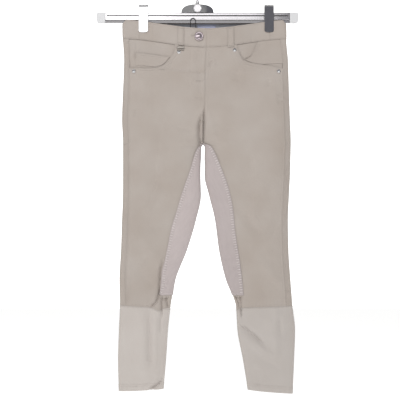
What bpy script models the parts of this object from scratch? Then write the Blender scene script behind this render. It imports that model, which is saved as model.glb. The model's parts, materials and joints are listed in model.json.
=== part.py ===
"""Riding breeches with a full seat, hanging from a clip hanger.

Run with:  blender --background --python part.py

Metres, +Z up, the front faces -Y. Left and right are the viewer's, seen from the front, so left is -X.
The origin is the inside top of the hanger's hook, where a rail carries it.

The cloth is worked out on one surface for each half of the garment. A place on that surface has two
numbers:
  turn  0 at the centre front or the inseam, 1 at the outer edge, 2 at the centre back or the inseam again
  drop  the way down from the top of the waist, in millimetres
Every cloth piece is a wall between two distances from that surface, so neighbours keep the same folds.
"""

import math
from collections import namedtuple

import bmesh
import bpy
from mathutils import Matrix, Vector

# ---------------------------------------------------------------- driving dimensions, in millimetres
MM = 0.001

BAR_Z = -98.0            # centre of the hanger bar under the hook's inside top
WAIST_Z = BAR_Z - 4.8    # top edge of the waist at the sides
CENTRE_X = 19.6          # centre front at the waist: the garment hangs a little off the hook's line
CROTCH_DROP = 281.0
PINCH_DROP = 172.0       # where the seat starts to close towards the crotch

BAND_HEIGHT = 43.0       # waistband
BAND_END_INSET = 37.0    # from the outer edge to the joint of front and back waistband
LINING_START = 0.56      # share of the way from that joint to the centre back where the lining starts
LINING_DROPS = (9.0, 41.0)
LABEL_X = (-1.2, 42.6)
LABEL_DROPS = (13.0, 37.0)
FRONT_SAG = 18.5         # the front rise is cut lower, so its middle hangs this much deeper
BACK_RISE = 3.0
SAG_REACH = 190.0
SAG_END_DROP = 215.0
LIP_DIP = 8.0            # the band's top edge bends down this much under the bar, at the outer fold
LIP_DIP_WIDTH = 10.0
SIDE_SEAM_INSET = 13.0   # the side seam lies this far inside the outline, on the front
CUFF_DROP = 658.0
EDGE_ROUND = 55.0        # how far in from an edge the flattened tube keeps rounding
EDGE_POWER = 2.2
CROWN = 0.22             # how much shallower the flattened tube is beside its edges than in its middle

CLOTH = 1.2
BAND_CLOTH = 2.0
CUFF_CLOTH = 1.5
PATCH_CLOTH = 1.0
TRIM_CLOTH = 1.0
LABEL_CLOTH = 0.6
POCKET_CLOTH = 0.9
GAP = 0.3
LAYER_GAP = 0.35
FACING_GAP = 0.8         # between the front and the pocket facing behind it
LINING_FACE = -LAYER_GAP - TRIM_CLOTH

CLIP_WIDTH = 21.0
CLIP_METAL = 1.0
CLIP_LEFT_X = -124.2
CLIP_RIGHT_X = 164.5
CLIP_TOP = 30.4          # above the bar's centre
CLIP_BOTTOM = 33.0       # below the bar's centre
CLIP_CLOTH_HALF = 1.6    # the cloth's inner faces stand this far from the middle plane in the clips
CLIP_FLAT = 18.5         # the cloth is flat this far to each side of a clip's middle
CLIP_EASE = 54.0         # and free again this far from it
CLIP_GRIP_DROP = 30.0
CLIP_FREE_DROP = 120.0

BAR_LENGTH = 464.0
BAR_BODY_TOP = 11.0      # above the bar's centre
BAR_BODY_BOTTOM = -4.2
BAR_LIP_BOTTOM = -11.2
BAR_DEPTH = 8.0
BAR_LIP_DEPTH = 2.0
BAR_GROOVE_Z = 6.0
BAR_GROOVE = 1.2
CAP_LENGTH = 20.0

BRACKET_WIDTH = 74.0
BRACKET_HEIGHT = 22.0
BRACKET_DEPTH = 9.0
COLLAR_RADIUS = 5.0
COLLAR_HEIGHT = 7.0
HOOK_WIRE = 4.0
HOOK_RADIUS = 22.0       # of the wire's centre line
HOOK_FOOT_ANGLE = -62.0  # the round part starts here, as an angle from +X
HOOK_TAIL_ANGLE = 205.0  # and ends here, open

BUTTON_RADIUS = 10.2
BUTTON_OUT = 16.0        # out from the centre seam
BUTTON_DROP = 19.0
RIVET_RADIUS = 4.2
SLIDE_X = -38.0
SLIDE_WIDTH = 16.0
SLIDE_TOP_DROP = 46.0
SLIDE_HEIGHT = 9.0

UNDERLAP_REACH = (-26.0, 12.0)  # to each side of the centre seam
UNDERLAP_DROPS = (2.0, 150.0)
ZIP_REACH = (-16.0, 4.0)
ZIP_DROPS = (48.0, 146.0)
ZIP_THICK = 1.6

LOOP_WIDTH = 14.0        # of a belt loop
LOOP_CLOTH = 1.6
LOOP_RISE = 2.0          # how far its middle stands off the band
CORD_RADIUS = 0.7        # of the hanging loop
CORD_X = (-16.2, -4.5)
CORD_DROP = 22.0         # where its ends are sewn to the lining
CORD_FRONT = -5.7        # it passes this far in front of the middle plane, clear of the bar

# One row for each section across a leg. outer is the x where the inside of the cloth turns round the outer
# edge; front and back are how far the cloth stands from the middle plane.
Section = namedtuple("Section", "drop outer front back")
SECTIONS = {
    "left": [
        Section(0, -171.0, 15, 14),
        Section(45, -170.2, 17, 16),
        Section(91, -167.8, 19, 20),
        Section(160, -170.2, 21, 25),
        Section(229, -172.5, 22, 28),
        Section(281, -170.2, 22, 28),
        Section(291, -170.2, 21, 27),
        Section(356, -170.2, 19, 23),
        Section(402, -170.4, 17, 21),
        Section(459, -172.5, 16, 19),
        Section(528, -174.8, 15, 17),
        Section(597, -178.4, 14, 15),
        Section(631, -177.6, 13, 15),
        Section(658, -177.2, 13, 14),
        Section(712, -179.4, 12, 13),
        Section(781, -181.4, 10, 11),
        Section(858, -179.4, 9, 9),
    ],
    "right": [
        Section(0, 202.2, 15, 14),
        Section(45, 203.0, 17, 16),
        Section(91, 207.0, 19, 20),
        Section(160, 209.3, 21, 25),
        Section(229, 211.6, 22, 28),
        Section(281, 213.6, 22, 28),
        Section(291, 213.4, 21, 27),
        Section(356, 211.6, 19, 23),
        Section(402, 209.3, 17, 21),
        Section(459, 207.0, 16, 19),
        Section(528, 208.2, 15, 17),
        Section(597, 212.7, 14, 15),
        Section(631, 215.4, 13, 15),
        Section(658, 217.3, 13, 14),
        Section(712, 223.0, 12, 13),
        Section(781, 220.8, 10, 11),
        Section(858, 217.3, 9, 9),
    ],
}

# The inner edge, as x at each drop: the centre seam down to the crotch, and below it each leg's inseam.
Line = namedtuple("Line", "drop x")
CENTRE_SEAM = [
    Line(0, 19.6), Line(45, 19.4), Line(91, 17.3), Line(160, 17.0), Line(229, 16.1), Line(281, 12.7),
]
INSEAM = {
    "left": [Line(281, 12.55), Line(291, 5.2), Line(356, 4.0), Line(402, 5.2), Line(459, -6.3),
             Line(528, -27.0), Line(597, -53.4), Line(631, -59.0), Line(658, -63.3), Line(712, -69.1),
             Line(781, -73.7), Line(858, -80.6)],
    "right": [Line(281, 12.85), Line(291, 20.1), Line(356, 19.0), Line(402, 29.3), Line(459, 43.1),
              Line(528, 52.3), Line(597, 68.4), Line(631, 82.0), Line(658, 89.8), Line(712, 93.2),
              Line(781, 105.9), Line(858, 118.5)],
}

# Largest folds. Each is a soft ridge (height above 0) or trough along a line between two places.
Fold = namedtuple("Fold", "face x1 drop1 x2 drop2 half_width height")
FOLDS = [
    Fold("front", -96, 384, -116, 428, 11, 2.2),
    Fold("front", -62, 250, -104, 470, 20, -2.4),
    Fold("front", -138, 492, -84, 560, 14, 2.0),
    Fold("front", -150, 560, -100, 610, 13, -2.0),
    Fold("front", -128, 672, -127, 800, 11, 2.6),
    Fold("front", -108, 660, -109, 780, 8, -2.6),
    Fold("front", -78, 812, -94, 846, 8, 2.0),
    Fold("front", 104, 446, 136, 482, 12, -2.4),
    Fold("front", 150, 380, 128, 448, 13, 2.2),
    Fold("front", 150, 560, 190, 606, 13, 2.0),
    Fold("front", 98, 706, 152, 744, 9, -2.6),
    Fold("front", 178, 666, 180, 764, 11, 2.6),
    Fold("front", 14, 206, -10, 262, 9, 2.0),
    Fold("front", 18, 206, 38, 264, 9, 2.0),
    Fold("back", -120, 300, -20, 330, 14, -3.0),
    Fold("back", 150, 296, 60, 332, 14, -3.0),
    Fold("back", -130, 350, -60, 372, 12, 2.4),
    Fold("back", 168, 356, 96, 380, 12, 2.4),
    Fold("back", -150, 520, -80, 548, 13, -2.6),
    Fold("back", -146, 560, -96, 590, 12, 2.2),
    Fold("back", 186, 516, 110, 552, 13, -2.6),
    Fold("back", 184, 574, 120, 600, 12, 2.2),
    Fold("back", -140, 690, -138, 800, 11, 2.2),
    Fold("back", 160, 680, 166, 790, 11, 2.2),
]

# Pocket mouths: how far out from the centre front the cut edge of the front lies at each drop.
Edge = namedtuple("Edge", "drop out")
MOUTHS = {
    "left": [Edge(43, 71), Edge(63, 73), Edge(72, 78), Edge(83, 84), Edge(95, 93), Edge(102, 104),
             Edge(108, 123), Edge(111.5, 176)],
    "right": [Edge(43, 76), Edge(53, 78), Edge(75, 85), Edge(84, 90), Edge(93, 102), Edge(99, 116),
              Edge(104, 140), Edge(109, 188)],
}
YOKE_EDGE = [Edge(43, 118), Edge(60, 110), Edge(73, 106), Edge(80.5, 92), Edge(84, 92)]
COIN_TOP_DROP = 74.0
COIN_END_DROP = 104.5
COIN_IN = 82.0
COIN_OUT = 158.0

# Front edge of each seat patch.
PATCH_FRONT = {
    "left": [Line(281, 12.7), Line(317, -12.6), Line(344, -17), Line(390, -31), Line(425, -49),
             Line(455, -53), Line(479, -61), Line(503, -69), Line(535, -74), Line(560, -83),
             Line(600, -86), Line(631, -85)],
    "right": [Line(281, 12.7), Line(287, 30), Line(307, 41), Line(337, 51), Line(359, 60), Line(381, 70),
              Line(404, 79), Line(446, 81), Line(479, 86), Line(516, 91), Line(543, 98),
              Line(576, 102.5), Line(631, 106)],
}
# Back edge of the seat patches, as turn, from the seat down to the knee.
Turn = namedtuple("Turn", "drop turn")
PATCH_BACK = [Turn(118, 1.94), Turn(124, 1.72), Turn(150, 1.56), Turn(200, 1.44), Turn(260, 1.40),
              Turn(340, 1.42), Turn(430, 1.50), Turn(520, 1.56), Turn(631, 1.58)]

Rivet = namedtuple("Rivet", "name leg out drop")
RIVETS = [
    Rivet("rivet_left_inner", "left", 61.0, 59.5),
    Rivet("rivet_left_outer", "left", 162.0, 118.5),
    Rivet("rivet_right_inner", "right", 65.5, 55.4),
    Rivet("rivet_right_outer", "right", 168.0, 118.5),
]
BeltLoop = namedtuple("BeltLoop", "name leg face x bottom")
BELT_LOOP_TOP = 1.5
BELT_LOOPS = [
    BeltLoop("belt_loop_front_left", "left", "front", -38.0, 42.5),
    BeltLoop("belt_loop_front_right", "right", "front", 76.0, 47.0),
    BeltLoop("belt_loop_back_left", "left", "back", -80.0, 47.0),
    BeltLoop("belt_loop_back_right", "right", "back", 116.0, 47.0),
]

# Drops of the rows of points: the first row is the seam with the waistband, the last the knee end.
LEG_DROPS = [262, 272, 278, 281, 287, 297, 318, 344, 370, 396, 422, 448, 475, 502, 530, 558, 585, 609, 631]
MOUTH_DROPS = [43, 53, 63, 73, 83, 91, 97, 101, 104, 106, 108, 109.5, 111, 112.5]
FRONT_DROPS = [*MOUTH_DROPS, 130, 152, 177, 202, 226, 246, *LEG_DROPS]
BACK_DROPS = [43, 68, 94, 118, 125, 136, 152, 175, 202, 226, 246, *LEG_DROPS]
FRONT_PART_DROP = 344
FRONT_COLUMNS = 11
BACK_COLUMNS = 13
BAND_COLUMNS = 17
CUFF_COLUMNS = 26
CUFF_ROWS = 8


# ---------------------------------------------------------------- small maths
def clamp(value, low=0.0, high=1.0):
    return max(low, min(high, value))


def smooth(value):
    value = clamp(value)
    return value * value * (3 - 2 * value)


def along(rows, drop, column):
    """The column's value at this drop, on a smooth curve through the rows that never overshoots them."""
    if drop <= rows[0].drop:
        return getattr(rows[0], column)
    if drop >= rows[-1].drop:
        return getattr(rows[-1], column)
    i = max(k for k in range(len(rows) - 1) if rows[k].drop <= drop)

    def slope(k):
        if k < 0 or k > len(rows) - 2:
            return None
        return (getattr(rows[k + 1], column) - getattr(rows[k], column)) / (rows[k + 1].drop - rows[k].drop)

    def tangent(k):
        before, after = slope(k - 1), slope(k)
        if before is None or after is None:
            return after if before is None else before
        return 0.0 if before * after <= 0 else 2 * before * after / (before + after)

    low, high = getattr(rows[i], column), getattr(rows[i + 1], column)
    span = rows[i + 1].drop - rows[i].drop
    t = (drop - rows[i].drop) / span
    return (
        (2 * t**3 - 3 * t**2 + 1) * low
        + (t**3 - 2 * t**2 + t) * span * tangent(i)
        + (3 * t**2 - 2 * t**3) * high
        + (t**3 - t**2) * span * tangent(i + 1)
    )


def spread(low, high, count):
    return [low + (high - low) * i / count for i in range(count + 1)]


# ---------------------------------------------------------------- the cloth surface
def edges(leg, drop):
    """x of the outer and of the inner edge."""
    if drop <= CROTCH_DROP:
        inner = along(CENTRE_SEAM, drop, "x") + (-GAP / 2 if leg == "left" else GAP / 2)
    else:
        inner = along(INSEAM[leg], drop, "x")
    return along(SECTIONS[leg], drop, "outer"), inner


def rounding(distance, reach):
    """0 at an edge, rising to 1 where the flattened tube has reached its full depth."""
    return (1 - (1 - clamp(distance / reach)) ** EDGE_POWER) ** (1 / EDGE_POWER)


def fold_height(face, x, drop):
    total = 0.0
    for fold in FOLDS:
        if fold.face != face:
            continue
        run = Vector((fold.x2 - fold.x1, fold.drop2 - fold.drop1))
        away = Vector((x - fold.x1, drop - fold.drop1))
        t = clamp(away.dot(run) / run.length_squared)
        total += fold.height * math.exp(-(((away - run * t).length / fold.half_width) ** 2))
    return total


def clip_hold(x, drop):
    """1 where a clip holds the waist shut, 0 where the cloth is free."""
    nearest = min(abs(x - CLIP_LEFT_X), abs(x - CLIP_RIGHT_X))
    beside = 1 - smooth((nearest - CLIP_FLAT) / (CLIP_EASE - CLIP_FLAT))
    below = 1 - smooth((drop - CLIP_GRIP_DROP) / (CLIP_FREE_DROP - CLIP_GRIP_DROP))
    return beside * below


def surface(leg, turn, drop):
    """The inside of the cloth, in millimetres."""
    outer, inner = edges(leg, drop)
    across = (1 - math.cos(math.pi * turn)) / 2
    x = inner + (outer - inner) * across
    face = "front" if turn < 1 else "back"
    width = abs(outer - inner)
    reach = min(EDGE_ROUND, width / 2)
    closing = clamp((drop - PINCH_DROP) / (CROTCH_DROP - PINCH_DROP))
    pinch = 1 - math.sqrt(1 - closing**2)
    from_outer = rounding(width * (1 - across), reach)
    from_inner = rounding(width * across, reach)
    body = from_outer * (1 - pinch + pinch * from_inner)
    parted = smooth(closing)
    crown = 1 - CROWN * (parted * (2 * across - 1) ** 2 + (1 - parted) * across**2)
    depth = along(SECTIONS[leg], drop, face) * body * crown
    depth += fold_height(face, x, drop) * from_outer * (from_inner if pinch > 0 else 1)
    hold = clip_hold(x, drop) * smooth(from_outer * 1.6)
    depth += (CLIP_CLOTH_HALF - depth) * hold
    middle = math.cos(math.pi / 2 * clamp(abs(x - CENTRE_X) / SAG_REACH)) ** 2
    fading = 1 - smooth((drop - BAND_HEIGHT) / (SAG_END_DROP - BAND_HEIGHT))
    sag = (FRONT_SAG if face == "front" else -BACK_RISE) * middle * fading
    # At the outer fold the top edge bends down under the lip of the hanger bar, which it straddles.
    fold_away = 1 - smooth(width * (1 - across) / LIP_DIP_WIDTH)
    sag += LIP_DIP * fold_away * (1 - smooth(drop / BAND_HEIGHT))
    return Vector((x, -depth if face == "front" else depth, WAIST_Z - drop - sag))


def outward(leg, turn, drop):
    """Unit vector out of the cloth."""
    step, rise = 0.01, 0.6
    below_crotch = drop > CROTCH_DROP
    if below_crotch:
        before, after = (turn - step) % 2, (turn + step) % 2
        top, bottom = max(drop - rise, CROTCH_DROP + 0.01), drop + rise
    else:
        before, after = max(turn - step, 0), min(turn + step, 2)
        if turn < 1:
            after = min(after, 1)
        top, bottom = max(drop - rise, 0), min(drop + rise, CROTCH_DROP)
    round_it = surface(leg, after, drop) - surface(leg, before, drop)
    down_it = surface(leg, turn, bottom) - surface(leg, turn, top)
    out = round_it.cross(down_it) * (1 if leg == "left" else -1)
    out.normalize()
    if not below_crotch:
        # The two halves meet on the centre seam, so near it the cloth's thickness doesn't lean across.
        centre = abs(surface(leg, turn, drop).x - edges(leg, drop)[1])
        out.x *= smooth(centre / 14)
        out.normalize()
    return out


def turn_at(leg, x, drop, face="front"):
    outer, inner = edges(leg, drop)
    turn = math.acos(1 - 2 * clamp((x - inner) / (outer - inner))) / math.pi
    return turn if face == "front" else 2 - turn


def turn_out(leg, out, drop):
    """Turn of the place on the front this far out from the centre seam."""
    side = -1 if leg == "left" else 1
    return turn_at(leg, edges(leg, drop)[1] + side * out, drop)


def turn_inset(leg, inset, drop):
    """Turn of the place on the front this far in from the outer edge."""
    side = -1 if leg == "left" else 1
    return turn_at(leg, edges(leg, drop)[0] - side * inset, drop)


def half_gap(leg, turn, drop):
    """Half the gap at a seam, as turn."""
    step = 0.01
    speed = (surface(leg, turn + step, drop) - surface(leg, turn - step, drop)).length / (2 * step)
    return GAP / 2 / speed


def front_start(drop):
    return 0.0 if drop < CROTCH_DROP else 0.003


def side_turn(leg, drop):
    return turn_inset(leg, SIDE_SEAM_INSET, drop)


def mouth_out(leg, drop):
    """How far out the front reaches at this drop: to the pocket mouth, or past it to the side seam."""
    rows = MOUTHS[leg]
    if drop > rows[-1].drop:
        return 1000.0
    return along(rows, drop, "out")


def cuff_seam(leg, turn):
    """Drop of the seam between leg and cuff."""
    across = (1 - math.cos(math.pi * turn)) / 2
    return CUFF_DROP + (3.0 - 6.0 * across if leg == "left" else 2.0 - 4.0 * across)


def hem_line(leg, turn):
    across = (1 - math.cos(math.pi * turn)) / 2
    return CUFF_DROP + 195.0 + (-6.0 + 5.0 * across if leg == "left" else -4.0 + 9.0 * across)


# ---------------------------------------------------------------- building
def material(name, colour, roughness, metallic=0.0):
    made = bpy.data.materials.new(name)
    made.use_nodes = True
    shader = made.node_tree.nodes["Principled BSDF"]
    shader.inputs["Base Color"].default_value = (*colour, 1.0)
    shader.inputs["Roughness"].default_value = roughness
    shader.inputs["Metallic"].default_value = metallic
    return made


def add(name, mesh, finish):
    mesh.materials.clear()
    mesh.materials.append(finish)
    made = bpy.data.objects.new(name, mesh)
    PARTS.objects.link(made)
    return made


def wall(name, finish, rows, columns, place, low, high, closed=False):
    """A closed wall of cloth. place(i, j) gives the leg, turn and drop of a grid point. low and high are how
    far out from the cloth surface its two faces are, each a number or a function of i and j."""
    build = bmesh.new()
    grid = []
    for i in range(rows):
        for j in range(columns):
            leg, turn, drop = place(i, j)
            at, out = surface(leg, turn, drop), outward(leg, turn, drop)
            near = low(i, j) if callable(low) else low
            far = high(i, j) if callable(high) else high
            grid.append([build.verts.new((at + out * away) * MM) for away in (near, far)])

    def corner(i, j, side):
        return grid[i * columns + j % columns][side]

    def face(*corners):
        build.faces.new([corner(*at) for at in corners])

    last = columns if closed else columns - 1
    for i in range(rows - 1):
        for j in range(last):
            face((i, j, 1), (i + 1, j, 1), (i + 1, j + 1, 1), (i, j + 1, 1))
            face((i, j, 0), (i, j + 1, 0), (i + 1, j + 1, 0), (i + 1, j, 0))
    for j in range(last):
        for i in (0, rows - 1):
            face((i, j, 0), (i, j, 1), (i, j + 1, 1), (i, j + 1, 0))
    if not closed:
        for i in range(rows - 1):
            for j in (0, columns - 1):
                face((i, j, 0), (i, j, 1), (i + 1, j, 1), (i + 1, j, 0))
    bmesh.ops.triangulate(build, faces=build.faces[:], quad_method="FIXED")
    # Where a column runs out at a cut edge, its points lie on each other.
    bmesh.ops.remove_doubles(build, verts=build.verts[:], dist=0.02 * MM)
    bmesh.ops.recalc_face_normals(build, faces=build.faces[:])
    mesh = bpy.data.meshes.new(name)
    build.to_mesh(mesh)
    build.free()
    mesh.shade_smooth()
    mesh.set_sharp_from_angle(angle=math.radians(40))
    return add(name, mesh, finish)


def prism(name, finish, outline, half_width, centre_x, bevel=0.0):
    """An outline of (y, z) points, extruded along X."""
    curve = bpy.data.curves.new(name, "CURVE")
    curve.dimensions = "2D"
    curve.fill_mode = "BOTH"
    curve.extrude = half_width * MM
    spline = curve.splines.new("POLY")
    spline.points.add(len(outline) - 1)
    for point, (y, z) in zip(spline.points, outline):
        point.co = (y * MM, z * MM, 0, 1)
    spline.use_cyclic_u = True
    made = bpy.data.objects.new(name, curve)
    PARTS.objects.link(made)
    # The curve's own X, Y and Z become the part's Y, Z and X.
    made.matrix_world = Matrix(((0, 0, 1, centre_x * MM), (1, 0, 0, 0), (0, 1, 0, 0), (0, 0, 0, 1)))
    curve.materials.append(finish)
    weld = made.modifiers.new("Weld", "WELD")
    weld.merge_threshold = 0.00001
    if bevel:
        soft = made.modifiers.new("Bevel", "BEVEL")
        soft.width = bevel * MM
        soft.segments = 2
        soft.limit_method = "ANGLE"
    return made


def turned(name, finish, profile, place, out, steps=20):
    """A turned piece. The profile's (radius, height) points run down its outer side to the foot."""
    mesh = bpy.data.meshes.new(name)
    points = [(radius * MM, 0, height * MM) for radius, height in profile]
    mesh.from_pydata(points, [(i, i + 1) for i in range(len(points) - 1)], [])
    made = add(name, mesh, finish)
    made.matrix_world = out.to_track_quat("Z", "Y").to_matrix().to_4x4()
    made.location = place * MM
    screw = made.modifiers.new("Screw", "SCREW")
    screw.steps = screw.render_steps = steps
    screw.use_merge_vertices = True
    screw.merge_threshold = 0.00001
    return made


def wire(name, finish, points, radius, sides=3):
    curve = bpy.data.curves.new(name, "CURVE")
    curve.dimensions = "3D"
    curve.bevel_depth = radius * MM
    curve.bevel_resolution = sides
    curve.use_fill_caps = True
    spline = curve.splines.new("POLY")
    spline.points.add(len(points) - 1)
    for point, at in zip(spline.points, points):
        point.co = (*(at * MM), 1)
    made = bpy.data.objects.new(name, curve)
    PARTS.objects.link(made)
    curve.materials.append(finish)
    return made


# ---------------------------------------------------------------- cloth pieces
def front_panel(leg):
    """The front, from the waist seam to the cuff. It is one piece of cloth, held as two walls that meet across
    the middle of the thigh, so that each stays simple enough to keep the leg's hollow clear."""
    middle = FRONT_DROPS.index(FRONT_PART_DROP)
    walls = {
        f"front_panel_{leg}": FRONT_DROPS[:middle] + [FRONT_PART_DROP - GAP / 2],
        f"front_lower_{leg}": [FRONT_PART_DROP + GAP / 2] + FRONT_DROPS[middle + 1:] + [None],
    }
    for name, drops in walls.items():
        def place(i, j, drops=drops):
            share = j / FRONT_COLUMNS
            drop = drops[i]
            if drop is None:
                turn = side_turn(leg, CUFF_DROP) * share
                drop = cuff_seam(leg, turn) - GAP / 2
            elif drop == BAND_HEIGHT:
                drop += GAP
            side = side_turn(leg, drop)
            limit = min(side - half_gap(leg, side, drop), turn_out(leg, mouth_out(leg, drop), drop))
            start = front_start(drop)
            return leg, min(start + (side - start) * share, limit), drop

        wall(name, TWILL, len(drops), FRONT_COLUMNS + 1, place, 0, CLOTH)


def back_panel(leg):
    drops = BACK_DROPS + [None]

    def place(i, j):
        share = j / BACK_COLUMNS
        drop = drops[i]
        if drop is None:
            side = side_turn(leg, CUFF_DROP)
            drop = cuff_seam(leg, side + (2 - side) * share) - GAP / 2
        elif i == 0:
            drop += GAP
        side = side_turn(leg, drop)
        start = side + half_gap(leg, side, drop)
        return leg, start + (2 - front_start(drop) - start) * share, drop

    wall(f"back_panel_{leg}", TWILL, len(drops), BACK_COLUMNS + 1, place, 0, CLOTH)


def seat_patch(leg):
    """Lies on the leg from its front edge, round the inseam and over the seat to the centre back."""
    drops = [drop for drop in BACK_DROPS if drop >= PATCH_BACK[0].drop]
    side_at = side_turn(leg, CUFF_DROP)
    back_share = [j / BACK_COLUMNS for j in range(BACK_COLUMNS + 1)]
    front_share = [j / FRONT_COLUMNS for j in range(1, FRONT_COLUMNS + 1)]
    columns = [("back", share) for share in back_share if side_at + (2 - side_at) * share > 1.34]
    columns += [("front", share) for share in front_share if share < 0.72]

    def place(i, j):
        face, share = columns[j]
        drop = drops[i]
        side = side_turn(leg, drop)
        if face == "back":
            turn = max(side + (2 - side) * share, along(PATCH_BACK, drop, "turn"))
            return leg, min(turn, 2.0), drop
        if drop <= CROTCH_DROP:
            return leg, 2.0, drop
        edge = turn_at(leg, along(PATCH_FRONT[leg], drop, "x"), drop)
        return leg, min(side * share, edge), drop

    def near(i, j):
        # Its narrow top, just under the crotch, crosses the roundest cloth and stands a little prouder.
        proud = 0.9 * (1 - smooth((abs(drops[i] - 302) - 12) / 22)) if columns[j][0] == "front" else 0.0
        return CLOTH + LAYER_GAP + proud

    name = f"seat_patch_{leg}"
    wall(name, SUEDE, len(drops), len(columns), place, near, lambda i, j: near(i, j) + PATCH_CLOTH)


def cuff(leg):
    def place(i, j):
        turn = 2 * j / CUFF_COLUMNS
        top, bottom = cuff_seam(leg, turn) + GAP / 2, hem_line(leg, turn)
        return leg, turn, top + (bottom - top) * i / (CUFF_ROWS - 1)

    wall(f"cuff_{leg}", RIB, CUFF_ROWS, CUFF_COLUMNS, place, 0, CUFF_CLOTH, closed=True)


def waistband():
    drops = spread(0, BAND_HEIGHT - GAP / 2, 4)
    for leg in ("left", "right"):
        def front(i, j, leg=leg):
            end = turn_inset(leg, BAND_END_INSET, drops[i])
            return leg, (end - half_gap(leg, end, drops[i])) * j / BAND_COLUMNS, drops[i]

        wall(f"waistband_front_{leg}", TWILL, len(drops), BAND_COLUMNS + 1, front, 0, BAND_CLOTH)

    # The back runs from one joint round the outer edge and over the centre back to the other joint.
    steps = range(BAND_COLUMNS + 1)
    columns = [("left", k / BAND_COLUMNS) for k in steps]
    columns += [("right", k / BAND_COLUMNS) for k in reversed(steps[:-1])]

    def back(drop, column):
        leg, share = column
        end = turn_inset(leg, BAND_END_INSET, drop)
        start = end + half_gap(leg, end, drop)
        return leg, start + (2 - start) * share, drop

    wall("waistband_back", TWILL, len(drops), len(columns), lambda i, j: back(drops[i], columns[j]),
         0, BAND_CLOTH)

    lined = [column for column in columns if column[1] > LINING_START]
    heights = spread(*LINING_DROPS, 3)
    wall("waistband_lining", LINING, len(heights), len(lined), lambda i, j: back(heights[i], lined[j]),
         LINING_FACE, LINING_FACE + TRIM_CLOTH)
    far = LINING_FACE - LAYER_GAP
    wall("waist_label", LABEL, 3, 5, on_back(LABEL_X, LABEL_DROPS, 3, 5), far - LABEL_CLOTH, far)


def on_back(ends, drops, rows, columns):
    """Places on the back between two x and two drops."""
    def place(i, j):
        x = ends[0] + (ends[1] - ends[0]) * j / (columns - 1)
        drop = drops[0] + (drops[1] - drops[0]) * i / (rows - 1)
        leg = "left" if x < edges("left", drop)[1] else "right"
        return leg, turn_at(leg, x, drop, "back"), drop

    return place


def pocket_pieces():
    for leg in ("left", "right"):
        drops = [45, 55, 65, 76, 88, 97, 104, 109, 112.5, 121]

        def facing(i, j, leg=leg):
            drop = drops[i]
            side = side_turn(leg, drop)
            start = turn_out(leg, min(along(MOUTHS[leg], drop - 12, "out") - 9, 168), drop)
            return leg, start + (side - half_gap(leg, side, drop) - start) * j / 9, drop

        wall(f"pocket_facing_{leg}", TWILL, len(drops), 10, facing, -FACING_GAP - TRIM_CLOTH,
             -FACING_GAP)

    def coin(i, j):
        drop = COIN_TOP_DROP + (COIN_END_DROP - COIN_TOP_DROP) * i / 5
        start = max(COIN_IN, mouth_out("left", drop) + 2.0)
        return "left", turn_out("left", start + (COIN_OUT - start) * j / 8, drop), drop

    wall("coin_pocket", TWILL, 6, 9, coin, 0.0, POCKET_CLOTH)

    yoke_drops = [44.5, 52, 60, 67, 73, 78, 82, 88, 94, 100]

    def yoke(i, j):
        drop = yoke_drops[i]
        start = max(along(YOKE_EDGE, drop, "out"), mouth_out("right", drop) + 2.0)
        first = turn_out("right", start, drop)
        side = side_turn("right", drop)
        return "right", first + (side - half_gap("right", side, drop) * 2 - first) * j / 8, drop

    wall("pocket_yoke", TWILL, len(yoke_drops), 9, yoke, 0.0, POCKET_CLOTH)


def belt_loop(loop):
    drops = spread(BELT_LOOP_TOP, loop.bottom, 8)

    def place(i, j):
        x = loop.x + LOOP_WIDTH * (j / 2 - 0.5)
        return loop.leg, turn_at(loop.leg, x, drops[i], loop.face), drops[i]

    def near(i, j):
        lift = math.sin(math.pi * i / (len(drops) - 1)) ** 0.5
        return BAND_CLOTH + LAYER_GAP + LOOP_RISE * lift

    wall(loop.name, TWILL, len(drops), 3, place, near, lambda i, j: near(i, j) + LOOP_CLOTH)


def fly():
    """The underlap of the right front, behind the opening, and the zip on it."""
    def strip(name, finish, reach, drops, far, thick):
        def place(i, j):
            drop = drops[i]
            inner = edges("left", drop)[1]
            x = inner + reach[0] + (reach[1] - reach[0]) * j / 3
            leg = "left" if x < inner else "right"
            return leg, turn_at(leg, x, drop), drop

        wall(name, finish, len(drops), 4, place, far - thick, far)

    far = -FACING_GAP
    strip("fly_underlap", TWILL, UNDERLAP_REACH, spread(*UNDERLAP_DROPS, 8), far, TRIM_CLOTH)
    far -= TRIM_CLOTH + LAYER_GAP
    strip("fly_zip", ZIP, ZIP_REACH, spread(*ZIP_DROPS, 6), far, ZIP_THICK)


def hardware():
    dome = [(0.0, 2.4), (1.6, 2.2), (3.2, 1.4), (RIVET_RADIUS, 0.3), (RIVET_RADIUS, 0.0), (0.0, 0.0)]
    for rivet in RIVETS:
        turn = turn_out(rivet.leg, rivet.out, rivet.drop)
        normal = outward(rivet.leg, turn, rivet.drop)
        seat = surface(rivet.leg, turn, rivet.drop) + normal * (CLOTH + LAYER_GAP)
        turned(rivet.name, STEEL, dome, seat, normal, steps=12)

    # The cap of a jeans button: a low dome in a raised rim, on a short stem.
    cap = [(0.0, 3.2), (3.0, 3.4), (6.4, 3.0), (8.0, 3.9), (9.4, 3.7), (BUTTON_RADIUS, 2.6), (9.6, 1.4),
           (4.0, 1.0), (3.4, 0.0), (0.0, 0.0)]
    turn = turn_out("left", BUTTON_OUT, BUTTON_DROP)
    normal = outward("left", turn, BUTTON_DROP)
    seat = surface("left", turn, BUTTON_DROP) + normal * (BAND_CLOTH + LAYER_GAP)
    turned("waist_button", STEEL, cap, seat, normal, steps=22)

    # A flat metal slide on the panel, under the left front belt loop.
    under = CLOTH + LAYER_GAP
    height = [1.2, 2.6, 2.6, 1.2]

    def slide(i, j):
        drop = SLIDE_TOP_DROP + SLIDE_HEIGHT * i / 3
        return "left", turn_at("left", SLIDE_X + SLIDE_WIDTH * (j / 3 - 0.5), drop), drop

    wall("loop_slide", STEEL, 4, 4, slide, under, lambda i, j: under + height[i])


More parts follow.
